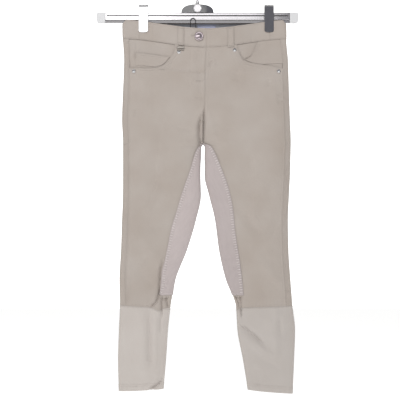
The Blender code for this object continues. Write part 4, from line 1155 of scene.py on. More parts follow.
def over_back(drops, starts, pitch, seams):
    """A grid over the back, from left to right: is_left, turn, drop, and the way from its nearer end."""
    parts = []
    for leg, start in zip(LEGS, starts):
        turn, _, away, _ = columns_between(leg, drops, start, np.full(len(drops), 2.0), pitch, seams)
        # On the right the columns run back to the start, without the one that both halves share.
        columns = slice(None) if leg == "left" else slice(-2, None, -1)
        parts.append((np.full(turn.shape, leg == "left")[:, columns], turn[:, columns], away[:, columns]))
    is_left, turn, away = (np.concatenate(part, axis=1) for part in zip(*parts))
    return is_left, turn, np.broadcast_to(drops[:, None], turn.shape), away


print("helpers: both, laid, at_x, over_back")

# %% Cut the waistband
BAND_CLOTH = 2.0
BAND_DROPS = graded((0, 0.7), (4, 2.0), (37, 0.8), (BAND_HEIGHT - GAP / 2, 0))
BAND_LAP = 1.25


def band_relief(drop, x):
    """The double row of topstitching presses a shallow line into each edge of the band."""
    line = -0.28 * (bell(drop - 2.6, 0.9) + bell(BAND_HEIGHT - 2.6 - drop, 0.9))
    puff = 0.35 * np.sin(np.pi * np.clip(drop / BAND_HEIGHT, 0, 1)) ** 0.5
    return line + puff + 0.16 * np.sin(x / 1.7 + np.sin(x / 19)) * np.exp(-((drop - 40) / 5) ** 2)


def band_joint(leg, way):
    """Turns at the joint of a front band and the back one, half the gap to one side of it."""
    joint = turn_inset(leg, BAND_END_INSET, BAND_DROPS)
    return joint + way * half_gap(leg, joint, BAND_DROPS)


def band_lap(from_centre):
    """How much prouder the left band lies towards the button, where it laps over the right one."""
    return BAND_LAP * smooth((58 - from_centre) / 40)


def band_front(leg):
    turn, drop, from_centre, from_joint = columns_between(leg, BAND_DROPS, np.zeros(len(BAND_DROPS)),
                                                          band_joint(leg, -1), 2.3)
    at, out = on_cloth(leg, turn, drop)
    raised = band_relief(drop, at[..., 0]) - 0.4 * bell(from_joint, 1.1)
    if leg == "left":
        raised += band_lap(from_centre)
    away = np.minimum(from_joint, BAND_HEIGHT - drop)
    sheet(f"band_front_{leg}", TWILL, at + out * raised[..., None], BAND_CLOTH, away, drop,
          nodes=(f"waistband_front_{leg}",))


def band_back():
    starts = [band_joint(leg, 1) for leg in LEGS]
    is_left, turn, drop, from_joint = over_back(BAND_DROPS, starts, 2.5, (True, False))
    x = both(surface, is_left, turn, drop)[..., 0]
    raised = band_relief(drop, x) - 0.4 * bell(from_joint, 1.1)
    raised -= 0.35 * bell(x - edges("left", drop)[1], 0.8) * (turn > 1)
    away = np.minimum(from_joint, BAND_HEIGHT - drop)
    sheet("band_back", TWILL, laid(is_left, turn, drop, raised), BAND_CLOTH, away, drop,
          nodes=("waistband_back",))


band_front("left")
band_front("right")
band_back()
print({name: areas[name] for name in ("band_front_left", "band_front_right", "band_back")})

# %% [markdown]
# ## Lining and label
#
# Where the front dips, the inside of the back band shows: a blue-grey lining, and on it a small woven label.
# The label is blank. Its edges lie on the lining and its middle stands off a little, as if it were sewn down
# all round.

# %% Cut the lining and the label
LINING_START = 0.56      # share of the way from the band's joint to the centre where the lining begins
LINING_DROPS = (9.0, 41.0)
LINING_CLOTH, LABEL_CLOTH = 1.0, 0.6
LINING_FACE = -LAYER - LINING_CLOTH
LABEL_X, LABEL_DROPS = (-1.2, 42.6), (10.4, 34.4)


def lining():
    drops = np.linspace(*LINING_DROPS, 16)
    joints = [turn_inset(leg, BAND_END_INSET, drops) for leg in LEGS]
    starts = [joint + (2 - joint) * LINING_START for joint in joints]
    is_left, turn, drop, _ = over_back(drops, starts, 2.6, (False, False))
    x = both(surface, is_left, turn, drop)[..., 0]
    puckers = 0.14 * np.sin(x / 2.1) * np.exp(-((drop - LINING_DROPS[0]) / 4))
    away = np.minimum(drop - LINING_DROPS[0], LINING_DROPS[1] - drop)
    sheet("lining", LINING, laid(is_left, turn, drop, LINING_FACE + puckers), LINING_CLOTH, away, drop,
          nodes=("waistband_lining",))


def label():
    drop, x = np.meshgrid(np.linspace(*LABEL_DROPS, 14), np.linspace(*LABEL_X, 24), indexing="ij")
    is_left, turn = at_x(x, drop)
    edge = np.minimum.reduce([x - LABEL_X[0], LABEL_X[1] - x, drop - LABEL_DROPS[0], LABEL_DROPS[1] - drop])
    belly = -0.5 * smooth(edge / 6)
    far = LINING_FACE - LAYER - LABEL_CLOTH
    sheet("label", LABEL, laid(is_left, turn, drop, far + belly), LABEL_CLOTH, edge, drop,
          nodes=("waist_label",))


lining()
label()
print({name: areas[name] for name in ("lining", "label")})

# %% [markdown]
# ## Pocket pieces
#
# Behind each mouth a facing closes the gap, so that the pocket shows cloth and not a hole. It runs up behind
# the band, and away from the mouth it comes forward to the seams. On the left there is a small coin pocket on
# the facing, and on the right a second, shaped piece. Both have their own edges, a little lower than the
# front's.

# %% Cut the pocket pieces
FACING_GAP, TRIM_CLOTH, POCKET_CLOTH, FACING_NEAR, FACING_LIFT = 0.8, 1.0, 0.9, 0.25, 1.1
COIN_DROPS, COIN_OUT = (74.0, 104.5), (82.0, 158.0)
YOKE_EDGE = track((43, 118), (60, 110), (72, 104), (79, 94), (84, 89))


def facing_face(leg, turn, drop):
    """How far out a facing's outer face lies: just inside the front at the mouth, further out beyond."""
    x = surface(leg, turn, drop, creased=False)[..., 0]
    from_mouth, _, _, _ = nearest(mouth_line(leg), x, drop)
    return FACING_LIFT * smooth((from_mouth - 4) / 22) * smooth((drop - 43) / 1.6) - FACING_NEAR


def pocket_piece(name, leg, drops, start, end, far, cloth, node_name, hem):
    """A flat piece between two turns in a pocket's mouth, its outer face this far out from the facing's."""
    turn, drop = spread(start, end, 30), drops[:, None]
    at, out = on_cloth(leg, turn, drop)
    across = np.abs(at[..., 0] - at[:, :1, 0])
    away = np.minimum(drop - drops[0], across) if hem else NO_SEAM
    raised = far + facing_face(leg, turn, drop) - cloth + (0.25 * smooth((hem - away) / 1.2) if hem else 0.0)
    sheet(name, TWILL, at + out * raised[..., None], cloth, away, drop, nodes=(node_name,))


def at_mouth(leg, drops, extra):
    return np.where(drops > MOUTHS[leg][-1][0], 1000.0, MOUTH_OUT[leg](drops)) + extra


for leg in LEGS:
    drops = graded((38, 1.0), (46, 2.6), (121, 0))
    side = side_turn(leg, drops)
    start = turn_out(leg, np.minimum(MOUTH_OUT[leg](drops - 12) - 9, 168), drops)
    end = side - half_gap(leg, side, drops)
    pocket_piece(f"facing_{leg}", leg, drops, start, end, 0.0, TRIM_CLOTH, f"pocket_facing_{leg}", 0)

drops = np.linspace(*COIN_DROPS, 22)
start = turn_out("left", np.maximum(COIN_OUT[0], at_mouth("left", drops, 2.0)), drops)
pocket_piece("coin_pocket_cloth", "left", drops, start, turn_out("left", COIN_OUT[1], drops),
             POCKET_CLOTH + 0.1, POCKET_CLOTH, "coin_pocket", 7.5)

drops = np.linspace(43.3, 100, 30)
start = turn_out("right", np.maximum(YOKE_EDGE(drops), at_mouth("right", drops, 2.0)), drops)
side = side_turn("right", drops)
pocket_piece("yoke_cloth", "right", drops, start, side - 2 * half_gap("right", side, drops),
             POCKET_CLOTH + 0.1, POCKET_CLOTH, "pocket_yoke", 6.5)
print({name: areas[name] for name in ("facing_left", "facing_right", "coin_pocket_cloth", "yoke_cloth")})

# %% [markdown]
# ## Belt loops
#
# A belt loop is a strip folded in three, sewn down at both ends and standing off the band between, so that a
# belt goes through. Its two long edges are thick, and its ends turn under with a heavy bar of thread.

# %% Cut the belt loops
LOOP_WIDTH, LOOP_CLOTH, LOOP_RISE, LOOP_TOP = 14.0, 1.2, 1.1, 1.5
BeltLoop = namedtuple("BeltLoop", "where leg face x bottom")
BELT_LOOPS = [
    BeltLoop("front_left", "left", "front", -38.0, 42.5),
    BeltLoop("front_right", "right", "front", 76.0, 47.0),
    BeltLoop("back_left", "left", "back", -80.0, 47.0),
    BeltLoop("back_right", "right", "back", 116.0, 47.0),
]


def loop_height(loop, drop):
    share = np.clip((drop - LOOP_TOP) / (loop.bottom - LOOP_TOP), 0, 1)
    return BAND_CLOTH + LAYER + 0.15 + LOOP_RISE * np.sin(np.pi * share) ** 0.5


for loop in BELT_LOOPS:
    drop = graded((LOOP_TOP, 0.7), (6, 1.8), (loop.bottom - 5, 0.7), (loop.bottom, 0))[:, None]
    offset = np.linspace(-0.5, 0.5, 13)[None, :] * LOOP_WIDTH
    at, out = on_cloth(loop.leg, turn_at(loop.leg, loop.x + offset, drop, loop.face), drop)
    edge = LOOP_WIDTH / 2 - np.abs(offset)
    raised = loop_height(loop, drop) - 0.2 * bell(edge - 2.6, 0.8) + 0.12 * np.sin(drop / 1.3)
    raised -= (raised - BAND_CLOTH - LAYER) * 0.6 * bell(edge, 1.5)
    lap = band_lap(CENTRE_X - loop.x) if loop.where == "front_left" else 0.0
    sheet(f"loop_{loop.where}", TWILL, at + out * (raised + lap)[..., None], LOOP_CLOTH, edge, drop,
          nodes=(f"belt_loop_{loop.where}",))
print([name for name in areas if name.startswith("loop")])

# %% [markdown]
# ## Underlap and zip
#
# Behind the opening the right front has an underlap, and on it lies the zip. Neither shows from outside while
# the fly is closed, but both are real pieces. The closed tapes are one sheet, and the teeth are small blocks
# that a loop sets down the middle, each a little to the other side than the one before.

# %% Make the underlap and the zip
UNDERLAP_REACH, UNDERLAP_DROPS = (-26.0, 12.0), (2.0, 150.0)
ZIP_REACH, ZIP_DROPS, TAPE_CLOTH = (-16.0, 4.0), (48.0, 146.0), 0.6
TOOTH_PITCH, TOOTH_SIZE = 1.9, (2.4, 1.44, 1.36)


def behind_fly(reach, drops, far):
    """Points across the opening at each drop, this far out from the front, and the drops."""
    drop = drops[:, None]
    x = edges("left", drop)[1] + reach
    return laid(*at_x(x, drop, "front"), drop, far), drop


underlap_face = -FACING_GAP - TRIM_CLOTH
points, drop = behind_fly(np.linspace(*UNDERLAP_REACH, 16), np.linspace(*UNDERLAP_DROPS, 54), underlap_face)
sheet("underlap", TWILL, points, TRIM_CLOTH, NO_SEAM, drop, nodes=("fly_underlap",))

tape_face = underlap_face - LAYER - TAPE_CLOTH
points, drop = behind_fly(np.linspace(*ZIP_REACH, 10), np.linspace(*ZIP_DROPS, 40), tape_face - 0.1)
sheet("zip_tapes", TAPE, points, TAPE_CLOTH, NO_SEAM, drop, nodes=("fly_zip",))

tooth_drops = np.arange(ZIP_DROPS[0] + 3, ZIP_DROPS[1] - 3, TOOTH_PITCH)
teeth_x = edges("left", tooth_drops)[1] + sum(ZIP_REACH) / 2
is_left, turn = at_x(teeth_x, tooth_drops, "front")
places = laid(is_left, turn, tooth_drops, tape_face - 0.55)
build = bmesh.new()
for number, place in enumerate(places):
    cube = bmesh.ops.create_cube(build, size=1.0)["verts"]
    bmesh.ops.scale(build, vec=Vector(TOOTH_SIZE) * MM, verts=cube)
    bmesh.ops.translate(build, vec=Vector(place + (0.7 * (-1) ** number, 0, 0)) * MM, verts=cube)
bmesh.ops.bevel(build, geom=build.edges[:], offset=0.12 * MM, segments=1, affect="EDGES")
teeth = link("zip_teeth", bpy.data.meshes.new("zip_teeth"))
build.to_mesh(teeth.data)
build.free()
settle(teeth, "zip_teeth", STEEL)
print("zip:", len(places), "teeth")

# %% [markdown]
# ## Stitching
#
# Topstitching is what makes cloth look sewn. Every stitch here is a little strand of thread that dips into
# the cloth at both ends. A row is given as a trail over the surface. It is cut into stitches of equal
# length, and each is dropped onto the finished piece with a ray, so that it lies on the seam's ridge and in
# its puckers. A zigzag is one long strand that swings from side to side. The suede's front edge is held by
# long stitches that lie across it. All the stitches of a region are joined in one mesh, with few faces to a
# stitch.

# %% Make a strand of thread
SIDES = 5
stitched = {}            # piece name -> its points and faces so far


def add_strands(name, points, out, radii):
    """Adds tubes with closed ends to a piece: points is strands by stations, out is the cloth's direction."""
    along = unit(np.gradient(points, axis=1))
    side = unit(np.cross(along, out))
    up = np.cross(side, along)
    angle = np.linspace(0, 2 * np.pi, SIDES, endpoint=False)[:, None]
    rings = points[:, :, None] + np.asarray(radii)[:, None, None] * (
        np.cos(angle) * up[:, :, None] + np.sin(angle) * side[:, :, None])
    verts, faces = stitched.setdefault(name, ([], []))
    strands, stations = points.shape[:2]
    index = sum(map(len, verts)) + np.arange(strands * stations * SIDES).reshape(strands, stations, SIDES)
    beside = np.roll(index, -1, axis=2)
    quads = np.stack([index[:, :-1], beside[:, :-1], beside[:, 1:], index[:, 1:]], axis=-1)
    verts.append(rings.reshape(-1, 3))
    faces += quads.reshape(-1, 4).tolist() + index[:, 0, ::-1].tolist() + index[:, -1].tolist()


print("a stitch of 4 stations has", 3 * SIDES * 2 + 2 * (SIDES - 2), "triangles")

# %% Make rows of stitches and zigzags
Seam = namedtuple("Seam", "pitch length radius")
TOPSTITCH = Seam(3.3, 2.6, 0.30)
FINE_STITCH = Seam(2.5, 1.9, 0.26)
STATIONS = np.array([0, 0.25, 0.75, 1])
RAY_START, RAY_LENGTH = 12.0, 20.0


def landed(piece, points, out):
    """The points moved along the outward ways until they lie on a finished piece, or nan where it ends."""
    found = np.full(points.shape, np.nan)
    for place in np.ndindex(points.shape[:-1]):
        start = Vector((points[place] + out[place] * RAY_START) * MM)
        hit, at, _, _ = piece.ray_cast(start, Vector(-out[place]), distance=RAY_LENGTH * MM)
        if hit:
            found[place] = np.array(at) / MM
    return found


def read_trail(trail, at):
    """Points and outward directions at these lengths along a trail."""
    arc = walk(trail[0])
    points, out = (np.stack([np.interp(at, arc, part[:, i]) for i in range(3)], axis=-1) for part in trail)
    return points, unit(out)


def trail_length(trail):
    return walk(trail[0])[-1]


def sew(name, piece, trail, seam=TOPSTITCH):
    """A row of stitches on a piece."""
    starts = np.arange(seam.pitch / 2, trail_length(trail) - seam.length, seam.pitch)
    points, out = read_trail(trail, starts[:, None] + seam.length * STATIONS)
    points = landed(piece, points, out)
    whole = ~np.isnan(points).any(axis=(1, 2))
    points, out = points[whole], out[whole]
    dips = seam.radius * np.array([-0.9, 0.55, 0.55, -0.9])
    if len(points):
        add_strands(name, points + out * dips[:, None], out, seam.radius * np.array([0.6, 1, 1, 0.6]))


def zigzag(name, piece, trail, width, pitch, radius):
    """One strand that swings across a trail."""
    swings = int(trail_length(trail) / (pitch / 2))
    turning = np.arange(swings * 3 + 1) / 3
    points, out = read_trail(trail, turning * pitch / 2)
    swing = (np.abs((turning + 1) % 2 - 1) - 0.5) * width
    side = unit(np.cross(np.gradient(points, axis=0), out))
    points = landed(piece, points + side * swing[:, None], out)
    gone = np.isnan(points).any(axis=1)
    points, out = points[~gone], out[~gone]
    rise = radius * (0.35 + 0.25 * np.sin(np.pi * (turning[~gone] % 1)))
    if len(points) > 3:
        add_strands(name, (points + out * rise[:, None])[None], out[None], np.full(len(points), radius))


def bars(name, piece, trail, width, pitch, radius):
    """Long stitches that lie across a trail, side by side."""
    points, out = read_trail(trail, np.arange(pitch / 2, trail_length(trail), pitch))
    side = unit(np.cross(np.gradient(points, axis=0), out))
    across = np.linspace(-0.5, 0.5, 6)[:, None] * width
    out = np.broadcast_to(out[:, None], (len(points), len(across), 3))
    points = landed(piece, points[:, None] + side[:, None] * across, out)
    whole = ~np.isnan(points).any(axis=(1, 2))
    rise = radius * np.array([-0.7, 0.4, 0.5, 0.5, 0.4, -0.7])[:, None]
    add_strands(name, (points + out * rise)[whole], out[whole], radius * np.array([0.6, 1, 1, 1, 1, 0.6]))


def by_x(leg, x, drop, face="front"):
    """A trail through the places at these x and drops."""
    return on_cloth(leg, turn_at(leg, x, drop, face), drop)


def by_out(leg, out, drop):
    """A trail on the front, this far out from the centre seam at each drop."""
    return on_cloth(leg, turn_out(leg, out, drop), drop)


def beside(leg, turn, drops, away):
    """Turns this far round the cloth from a line of turns. Below 0 is the way back towards turn 0."""
    return turn + away * 2 * half_gap(leg, turn, drops) / GAP


print("seams:", TOPSTITCH, FINE_STITCH)

# %% Sew the waistband, the side seams and the rise
pieces = bpy.data.objects
bpy.context.view_layer.update()
BAND_ROWS = (2.6, BAND_HEIGHT - 2.9)
for leg in LEGS:
    for drop in BAND_ROWS:
        joint = float(turn_inset(leg, BAND_END_INSET, drop))
        on_front, on_back = np.linspace(0.008, joint, 200), np.linspace(joint, 1.995, 400)
        sew("band_stitching", pieces[f"band_front_{leg}"], on_cloth(leg, on_front, drop))
        sew("band_stitching", pieces["band_back"], on_cloth(leg, on_back, drop))
    drops = np.linspace(5, 39, 30)
    joint = turn_inset(leg, BAND_END_INSET, drops)
    sew("band_stitching", pieces["band_back"], on_cloth(leg, beside(leg, joint, drops, 2.2), drops))

    drops = np.linspace(46, 652, 500)
    side = side_turn(leg, drops)
    sew(f"leg_stitching_{leg}", pieces[f"back_{leg}"], on_cloth(leg, beside(leg, side, drops, 2.6), drops))
    drops = drops[drops > MOUTHS[leg][-1][0] + 5]
    side = side_turn(leg, drops)
    sew(f"leg_stitching_{leg}", pieces[f"front_{leg}"], on_cloth(leg, beside(leg, side, drops, -2.6), drops))

    drops = np.linspace(47, 274, 200)
    x = edges(leg, drops)[1] + SIDE[leg] * 2.6
    sew(f"leg_stitching_{leg}", pieces[f"back_{leg}"], by_x(leg, x, drops, "back"))
sew("leg_stitching_left", pieces["front_left"], by_out("left", 2.6, np.linspace(192, 270, 90)))
print({name: len(faces) for name, (_, faces) in stitched.items()})

# %% Sew the fly, the pockets and the rivets' squares
FLY_X, FLY_STRAIGHT, FLY_FOOT = -3.4, 150.0, (16.0, 188.0)
MOUTH_ROWS = (2.2, 7.6)
BAR_TACKS = [("left", (-2.5, 13.5), 132.0), ("left", (-8.0, 3.0), 178.0)]


def tack(name, piece, leg, x, drop, width=2.0):
    """A bar tack: a dense zigzag between two x, at one drop."""
    x = np.linspace(*x, 20)
    zigzag(name, piece, by_x(leg, x, drop), width, 0.9, 0.24)


round_it = np.linspace(0, np.pi / 2, 60)
foot_x, foot_drop = FLY_FOOT
for inset in (0.0, 5.6):
    x = np.concatenate([np.full(80, FLY_X + inset), foot_x - (foot_x - FLY_X - inset) * np.cos(round_it)])
    drop = np.concatenate([np.linspace(46, FLY_STRAIGHT, 80),
                           FLY_STRAIGHT + (foot_drop - inset - FLY_STRAIGHT) * np.sin(round_it)])
    sew("front_stitching_left", pieces["front_left"], by_x("left", x, drop))
for leg, x, drop in BAR_TACKS:
    tack("front_stitching_left", pieces["front_left"], leg, x, drop)
tack("front_stitching_left", pieces["back_left"], "left", (-169.5, -160.5), 286.0, 1.6)

for leg, outer in SIDE.items():
    x, drop = np.array(mouth_line(leg)).T
    way = unit(np.stack([np.gradient(x), np.gradient(drop)], axis=1))
    for inset in MOUTH_ROWS:
        # The cloth lies inside and below the mouth.
        row_x, row_drop = x - outer * way[:, 1] * inset, drop + outer * way[:, 0] * inset
        keep = (row_drop > 45) & (np.abs(row_x - edges(leg, row_drop)[0]) > SIDE_SEAM_INSET + 3)
        sew(f"front_stitching_{leg}", pieces[f"front_{leg}"], by_x(leg, row_x[keep], row_drop[keep]))

outs = np.linspace(COIN_OUT[1] - 3, 90, 80)
for inset in (1.9, 6.2):
    row = by_out("left", outs, COIN_DROPS[0] + inset)
    sew("front_stitching_left", pieces["coin_pocket_cloth"], row, FINE_STITCH)
drops = np.linspace(47, 78, 60)
for inset in (1.8, 5.4):
    row = by_out("right", YOKE_EDGE(drops) + inset, drops)
    sew("front_stitching_right", pieces["yoke_cloth"], row, FINE_STITCH)

Rivet = namedtuple("Rivet", "leg out drop")
RIVETS = [Rivet("left", 61.0, 59.5), Rivet("left", 162.0, 118.5), Rivet("right", 65.5, 55.4),
          Rivet("right", 168.0, 118.5)]
SQUARE, SQUARE_STITCH = 5.4, Seam(2.7, 2.1, 0.26)
corners = np.array([(-1, -1), (1, -1), (1, 1), (-1, 1), (-1, -1)]) * SQUARE
square_out, square_drop = (np.interp(np.linspace(0, 4, 81), range(5), part) for part in corners.T)
for rivet in (RIVETS[1], RIVETS[3]):
    row = by_out(rivet.leg, rivet.out + square_out, rivet.drop + square_drop)
    sew(f"front_stitching_{rivet.leg}", pieces[f"front_{rivet.leg}"], row, SQUARE_STITCH)
print({name: len(faces) for name, (_, faces) in stitched.items()})

# %% Sew the belt loops and the buttonhole
for loop in BELT_LOOPS:
    piece = pieces[f"loop_{loop.where}"]
    drops = np.linspace(LOOP_TOP + 1, loop.bottom - 1, 60)
    for offset in (-1, 1):
        x = loop.x + offset * (LOOP_WIDTH / 2 - 2.4)
        sew("loop_stitching", piece, by_x(loop.leg, x, drops, loop.face), FINE_STITCH)
    x = loop.x + np.linspace(-0.42, 0.42, 20) * LOOP_WIDTH
    for drop in (LOOP_TOP + 3, loop.bottom - 3):
        zigzag("loop_stitching", piece, by_x(loop.leg, x, drop, loop.face), 2.2, 0.9, 0.24)

BUTTON_OUT, BUTTON_DROP = 16.0, 19.0
HOLE_LENGTH, HOLE_HEIGHT = 27.0, 3.2
round_it = np.linspace(0, 2 * np.pi, 160)
x = CENTRE_X - BUTTON_OUT - 4.5 + HOLE_LENGTH / 2 * np.cos(round_it)
drop = BUTTON_DROP + HOLE_HEIGHT / 2 * np.sign(np.sin(round_it)) * np.abs(np.sin(round_it)) ** 0.4
zigzag("loop_stitching", pieces["band_front_left"], by_x("left", x, drop), 2.2, 0.8, 0.22)
print("loops and buttonhole:", len(stitched["loop_stitching"][1]), "faces")

# %% Sew the cuffs and the suede
COVER_WIDTH, COVER_PITCH, COVER_THREAD = 7.0, 5.8, 0.62
PATCH_TOP_ROW, PATCH_COVER_ROW, PATCH_FOOT_ROW = 122, 290, 628


def on_patch(leg, inset, top):
    """A trail down a patch, this far in from its back edge, or from its front edge if inset is below 0."""
    drops = np.linspace(top, PATCH_FOOT_ROW, 400)
    turns, arc = patch_arcs(leg, drops)
    wanted = np.full(len(drops), inset) if inset > 0 else arc[:, -1] + inset
    turn = np.array([np.interp(want, way, row) for want, way, row in zip(wanted, arc, turns)])
    return on_cloth(leg, wrapped(turn), drops)


turns = np.linspace(0, 2, 500)
for leg in LEGS:
    cuff_piece, suede_piece = pieces[f"knit_cuff_{leg}"], pieces[f"suede_{leg}"]
    sew("cuff_stitching", cuff_piece, on_cloth(leg, turns, cuff_seam(leg, turns) + 2.6))
    for up in (HEM_HEIGHT - 1.2, HEM_HEIGHT - 5.6):
        sew("cuff_stitching", cuff_piece, on_cloth(leg, turns, hem_line(leg, turns) - up))

    bars("suede_stitching", suede_piece, on_patch(leg, -4.4, PATCH_COVER_ROW), COVER_WIDTH, COVER_PITCH,
         COVER_THREAD)
    for inset in (2.2, 7.4):
        sew("suede_stitching", suede_piece, on_patch(leg, inset, PATCH_TOP_ROW))
    across, _ = patch_arcs(leg, np.array([PATCH_FOOT_ROW]))
    sew("suede_stitching", suede_piece, on_cloth(leg, wrapped(across[0]), PATCH_FOOT_ROW))
print({name: len(faces) for name, (_, faces) in stitched.items()})

# %% Make the joined meshes of thread
def thread_piece(name, finish, slot):
    verts, faces = stitched[name]
    mesh = bpy.data.meshes.new(name)
    mesh.from_pydata((np.concatenate(verts) * MM).tolist(), [], faces)
    made = only(link(name, mesh))
    bpy.ops.object.shade_smooth()
    settle(made, name, finish, slot=slot)
    return len(mesh.polygons)


for name in stitched:
    is_suede = name == "suede_stitching"
    print(name, thread_piece(name, PALE_THREAD if is_suede else THREAD,
                             "seat_suede" if is_suede else "stretch_twill"), "faces")

# %% [markdown]
# ## Shaping the hard pieces
#
# The hanger, the button and the rivets are metal and plastic, and are modelled as by hand: a primitive of
# the right size, shaped in edit mode by insets, extrusions, bisects and a spin, then softened with a bevel.
# An operator works on whatever is selected, so a small helper picks faces, edges or vertices by where they
# are.

# %% Make the helpers for edit mode
BEVEL_FROM = math.radians(32)
X, Y, Z = range(3)


def start_shape(name):
    """Names the primitive just added, puts its size and place in its mesh, and opens it in edit mode."""
    made = only(bpy.context.object)
    made.name = name
    bpy.ops.object.transform_apply(location=True, rotation=True, scale=True)
    bpy.ops.object.mode_set(mode="EDIT")
    return made


def pick(made, kind, test):
    """In edit mode, selects the verts, edges or faces for which the test is true, and nothing else."""
    bpy.ops.mesh.select_mode(type={"verts": "VERT", "edges": "EDGE", "faces": "FACE"}[kind])
    bpy.ops.mesh.select_all(action="DESELECT")
    shape = bmesh.from_edit_mesh(made.data)
    chosen = [part for part in getattr(shape, kind) if test(part)]
    for part in chosen:
        part.select_set(True)
    bmesh.update_edit_mesh(made.data)
    return len(chosen)


def middle(part):
    """Middle of an edge or a face, in millimetres."""
    return sum((vert.co for vert in part.verts), Vector()) / len(part.verts) / MM


def runs_along(edge, axis):
    return abs((edge.verts[0].co - edge.verts[1].co).normalized()[axis]) > 0.9


def pull(*way):
    """Extrudes what is selected this far, in millimetres."""
    bpy.ops.mesh.extrude_region_move(TRANSFORM_OT_translate={"value": Vector(way) * MM})


def scaled(*by):
    bpy.ops.transform.resize(value=by)


def cut_across(axis, place):
    """Cuts the whole shape by the plane at this place on the X, Y or Z axis."""
    bpy.ops.mesh.select_all(action="SELECT")
    point, normal = Vector(), Vector()
    point[axis], normal[axis] = place * MM, 1
    bpy.ops.mesh.bisect(plane_co=point, plane_no=normal)


def end_shape(made, name, finish, *nodes, soft=0.4, slot=None, sharp=SHARP):
    """Closes edit mode, recalculates the normals, softens the edges and settles the piece."""
    bpy.ops.mesh.select_all(action="SELECT")
    bpy.ops.mesh.remove_doubles(threshold=0.005 * MM)
    bpy.ops.mesh.normals_make_consistent(inside=False)
    bpy.ops.object.mode_set(mode="OBJECT")
    only(made)
    if soft:
        modify(made, "BEVEL", width=soft * MM, segments=3, limit_method="ANGLE", angle_limit=BEVEL_FROM)
    bpy.ops.object.shade_smooth_by_angle(angle=sharp)
    # Large faces keep their own direction, so that the bevels beside them don't bend their reflections.
    modify(made, "WEIGHTED_NORMAL", keep_sharp=True)
    return settle(made, name, finish, *nodes, slot=slot)


def beside_solid(made, name):
    """Prints a piece's size beside that of the solid it stands for."""
    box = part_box(name)
    print(made.name, in_mm(made.dimensions), "solid", in_mm(box[1] - box[0]))


print("helpers: start_shape, pick, pull, cut_across, end_shape, beside_solid")

# %% [markdown]
# ## Hanger bar and caps
#
# The bar is an extruded rail of pale alloy with a narrow groove along each face and a thin lip below. The
# groove stops just short of the ends. The lip is the bottom face, inset and pulled down. Each end is shut by
# a white plastic cap with a rounded outer end and a shallow line where its two halves meet.

# %% Shape the bar
BAR_Z, BAR_LENGTH, BAR_DEPTH, CAP_LENGTH = -98.0, 464.0, 7.4, 20.0
BODY_TOP, BODY_BOTTOM, LIP_BOTTOM, LIP_DEPTH, LIP_TAPER = 12.2, -4.2, -11.2, 3.2, 0.45
GROOVE_Z, GROOVE_HALF, GROOVE_DEEP, GROOVE_STOP = 5.2, 1.3, 2.6, 4.0

bar_half = BAR_LENGTH / 2 - CAP_LENGTH - GAP
bpy.ops.mesh.primitive_cube_add(size=1, location=(0, 0, (BAR_Z + (BODY_TOP + BODY_BOTTOM) / 2) * MM),
                                scale=(2 * bar_half * MM, BAR_DEPTH * MM, (BODY_TOP - BODY_BOTTOM) * MM))
bar = start_shape("bar_rail")
inset = (BAR_DEPTH - LIP_DEPTH) / 2
pick(bar, "faces", lambda face: face.normal.z < -0.9)
bpy.ops.mesh.inset(thickness=inset * MM)
pull(0, 0, LIP_BOTTOM - BODY_BOTTOM)
scaled(1, LIP_TAPER, 1)
for side in (-1, 1):
    pick(bar, "faces", lambda face: face.normal.x * side > 0.9 and middle(face).z < BAR_Z + BODY_BOTTOM)
    bpy.ops.transform.translate(value=(side * (inset - 0.5) * MM, 0, 0))
for z in (GROOVE_Z - GROOVE_HALF, GROOVE_Z + GROOVE_HALF):
    cut_across(Z, BAR_Z + z)
groove_end = bar_half - GROOVE_STOP
for side in (-1, 1):
    cut_across(X, side * groove_end)
found = pick(bar, "faces", lambda face: abs(face.normal.y) > 0.9 and abs(middle(face).x) < groove_end
             and abs(middle(face).z - BAR_Z - GROOVE_Z) < GROOVE_HALF)
bpy.ops.mesh.extrude_region_shrink_fatten(TRANSFORM_OT_shrink_fatten={"value": -GROOVE_DEEP * MM})
bpy.ops.transform.resize(value=(1, 1, 0.4), center_override=(0, 0, (BAR_Z + GROOVE_Z) * MM))
# The top edges are broken by a wide bevel.
pick(bar, "edges", lambda edge: abs(middle(edge).x) < 1 and middle(edge).z > BAR_Z + BODY_TOP - 0.1)
bpy.ops.mesh.bevel(offset=1.6 * MM, segments=3, affect="EDGES")
end_shape(bar, "bar_rail", ALLOY, "hanger_bar", soft=0.45)
print("bar:", len(bar.data.polygons), "faces, groove cut in", found)

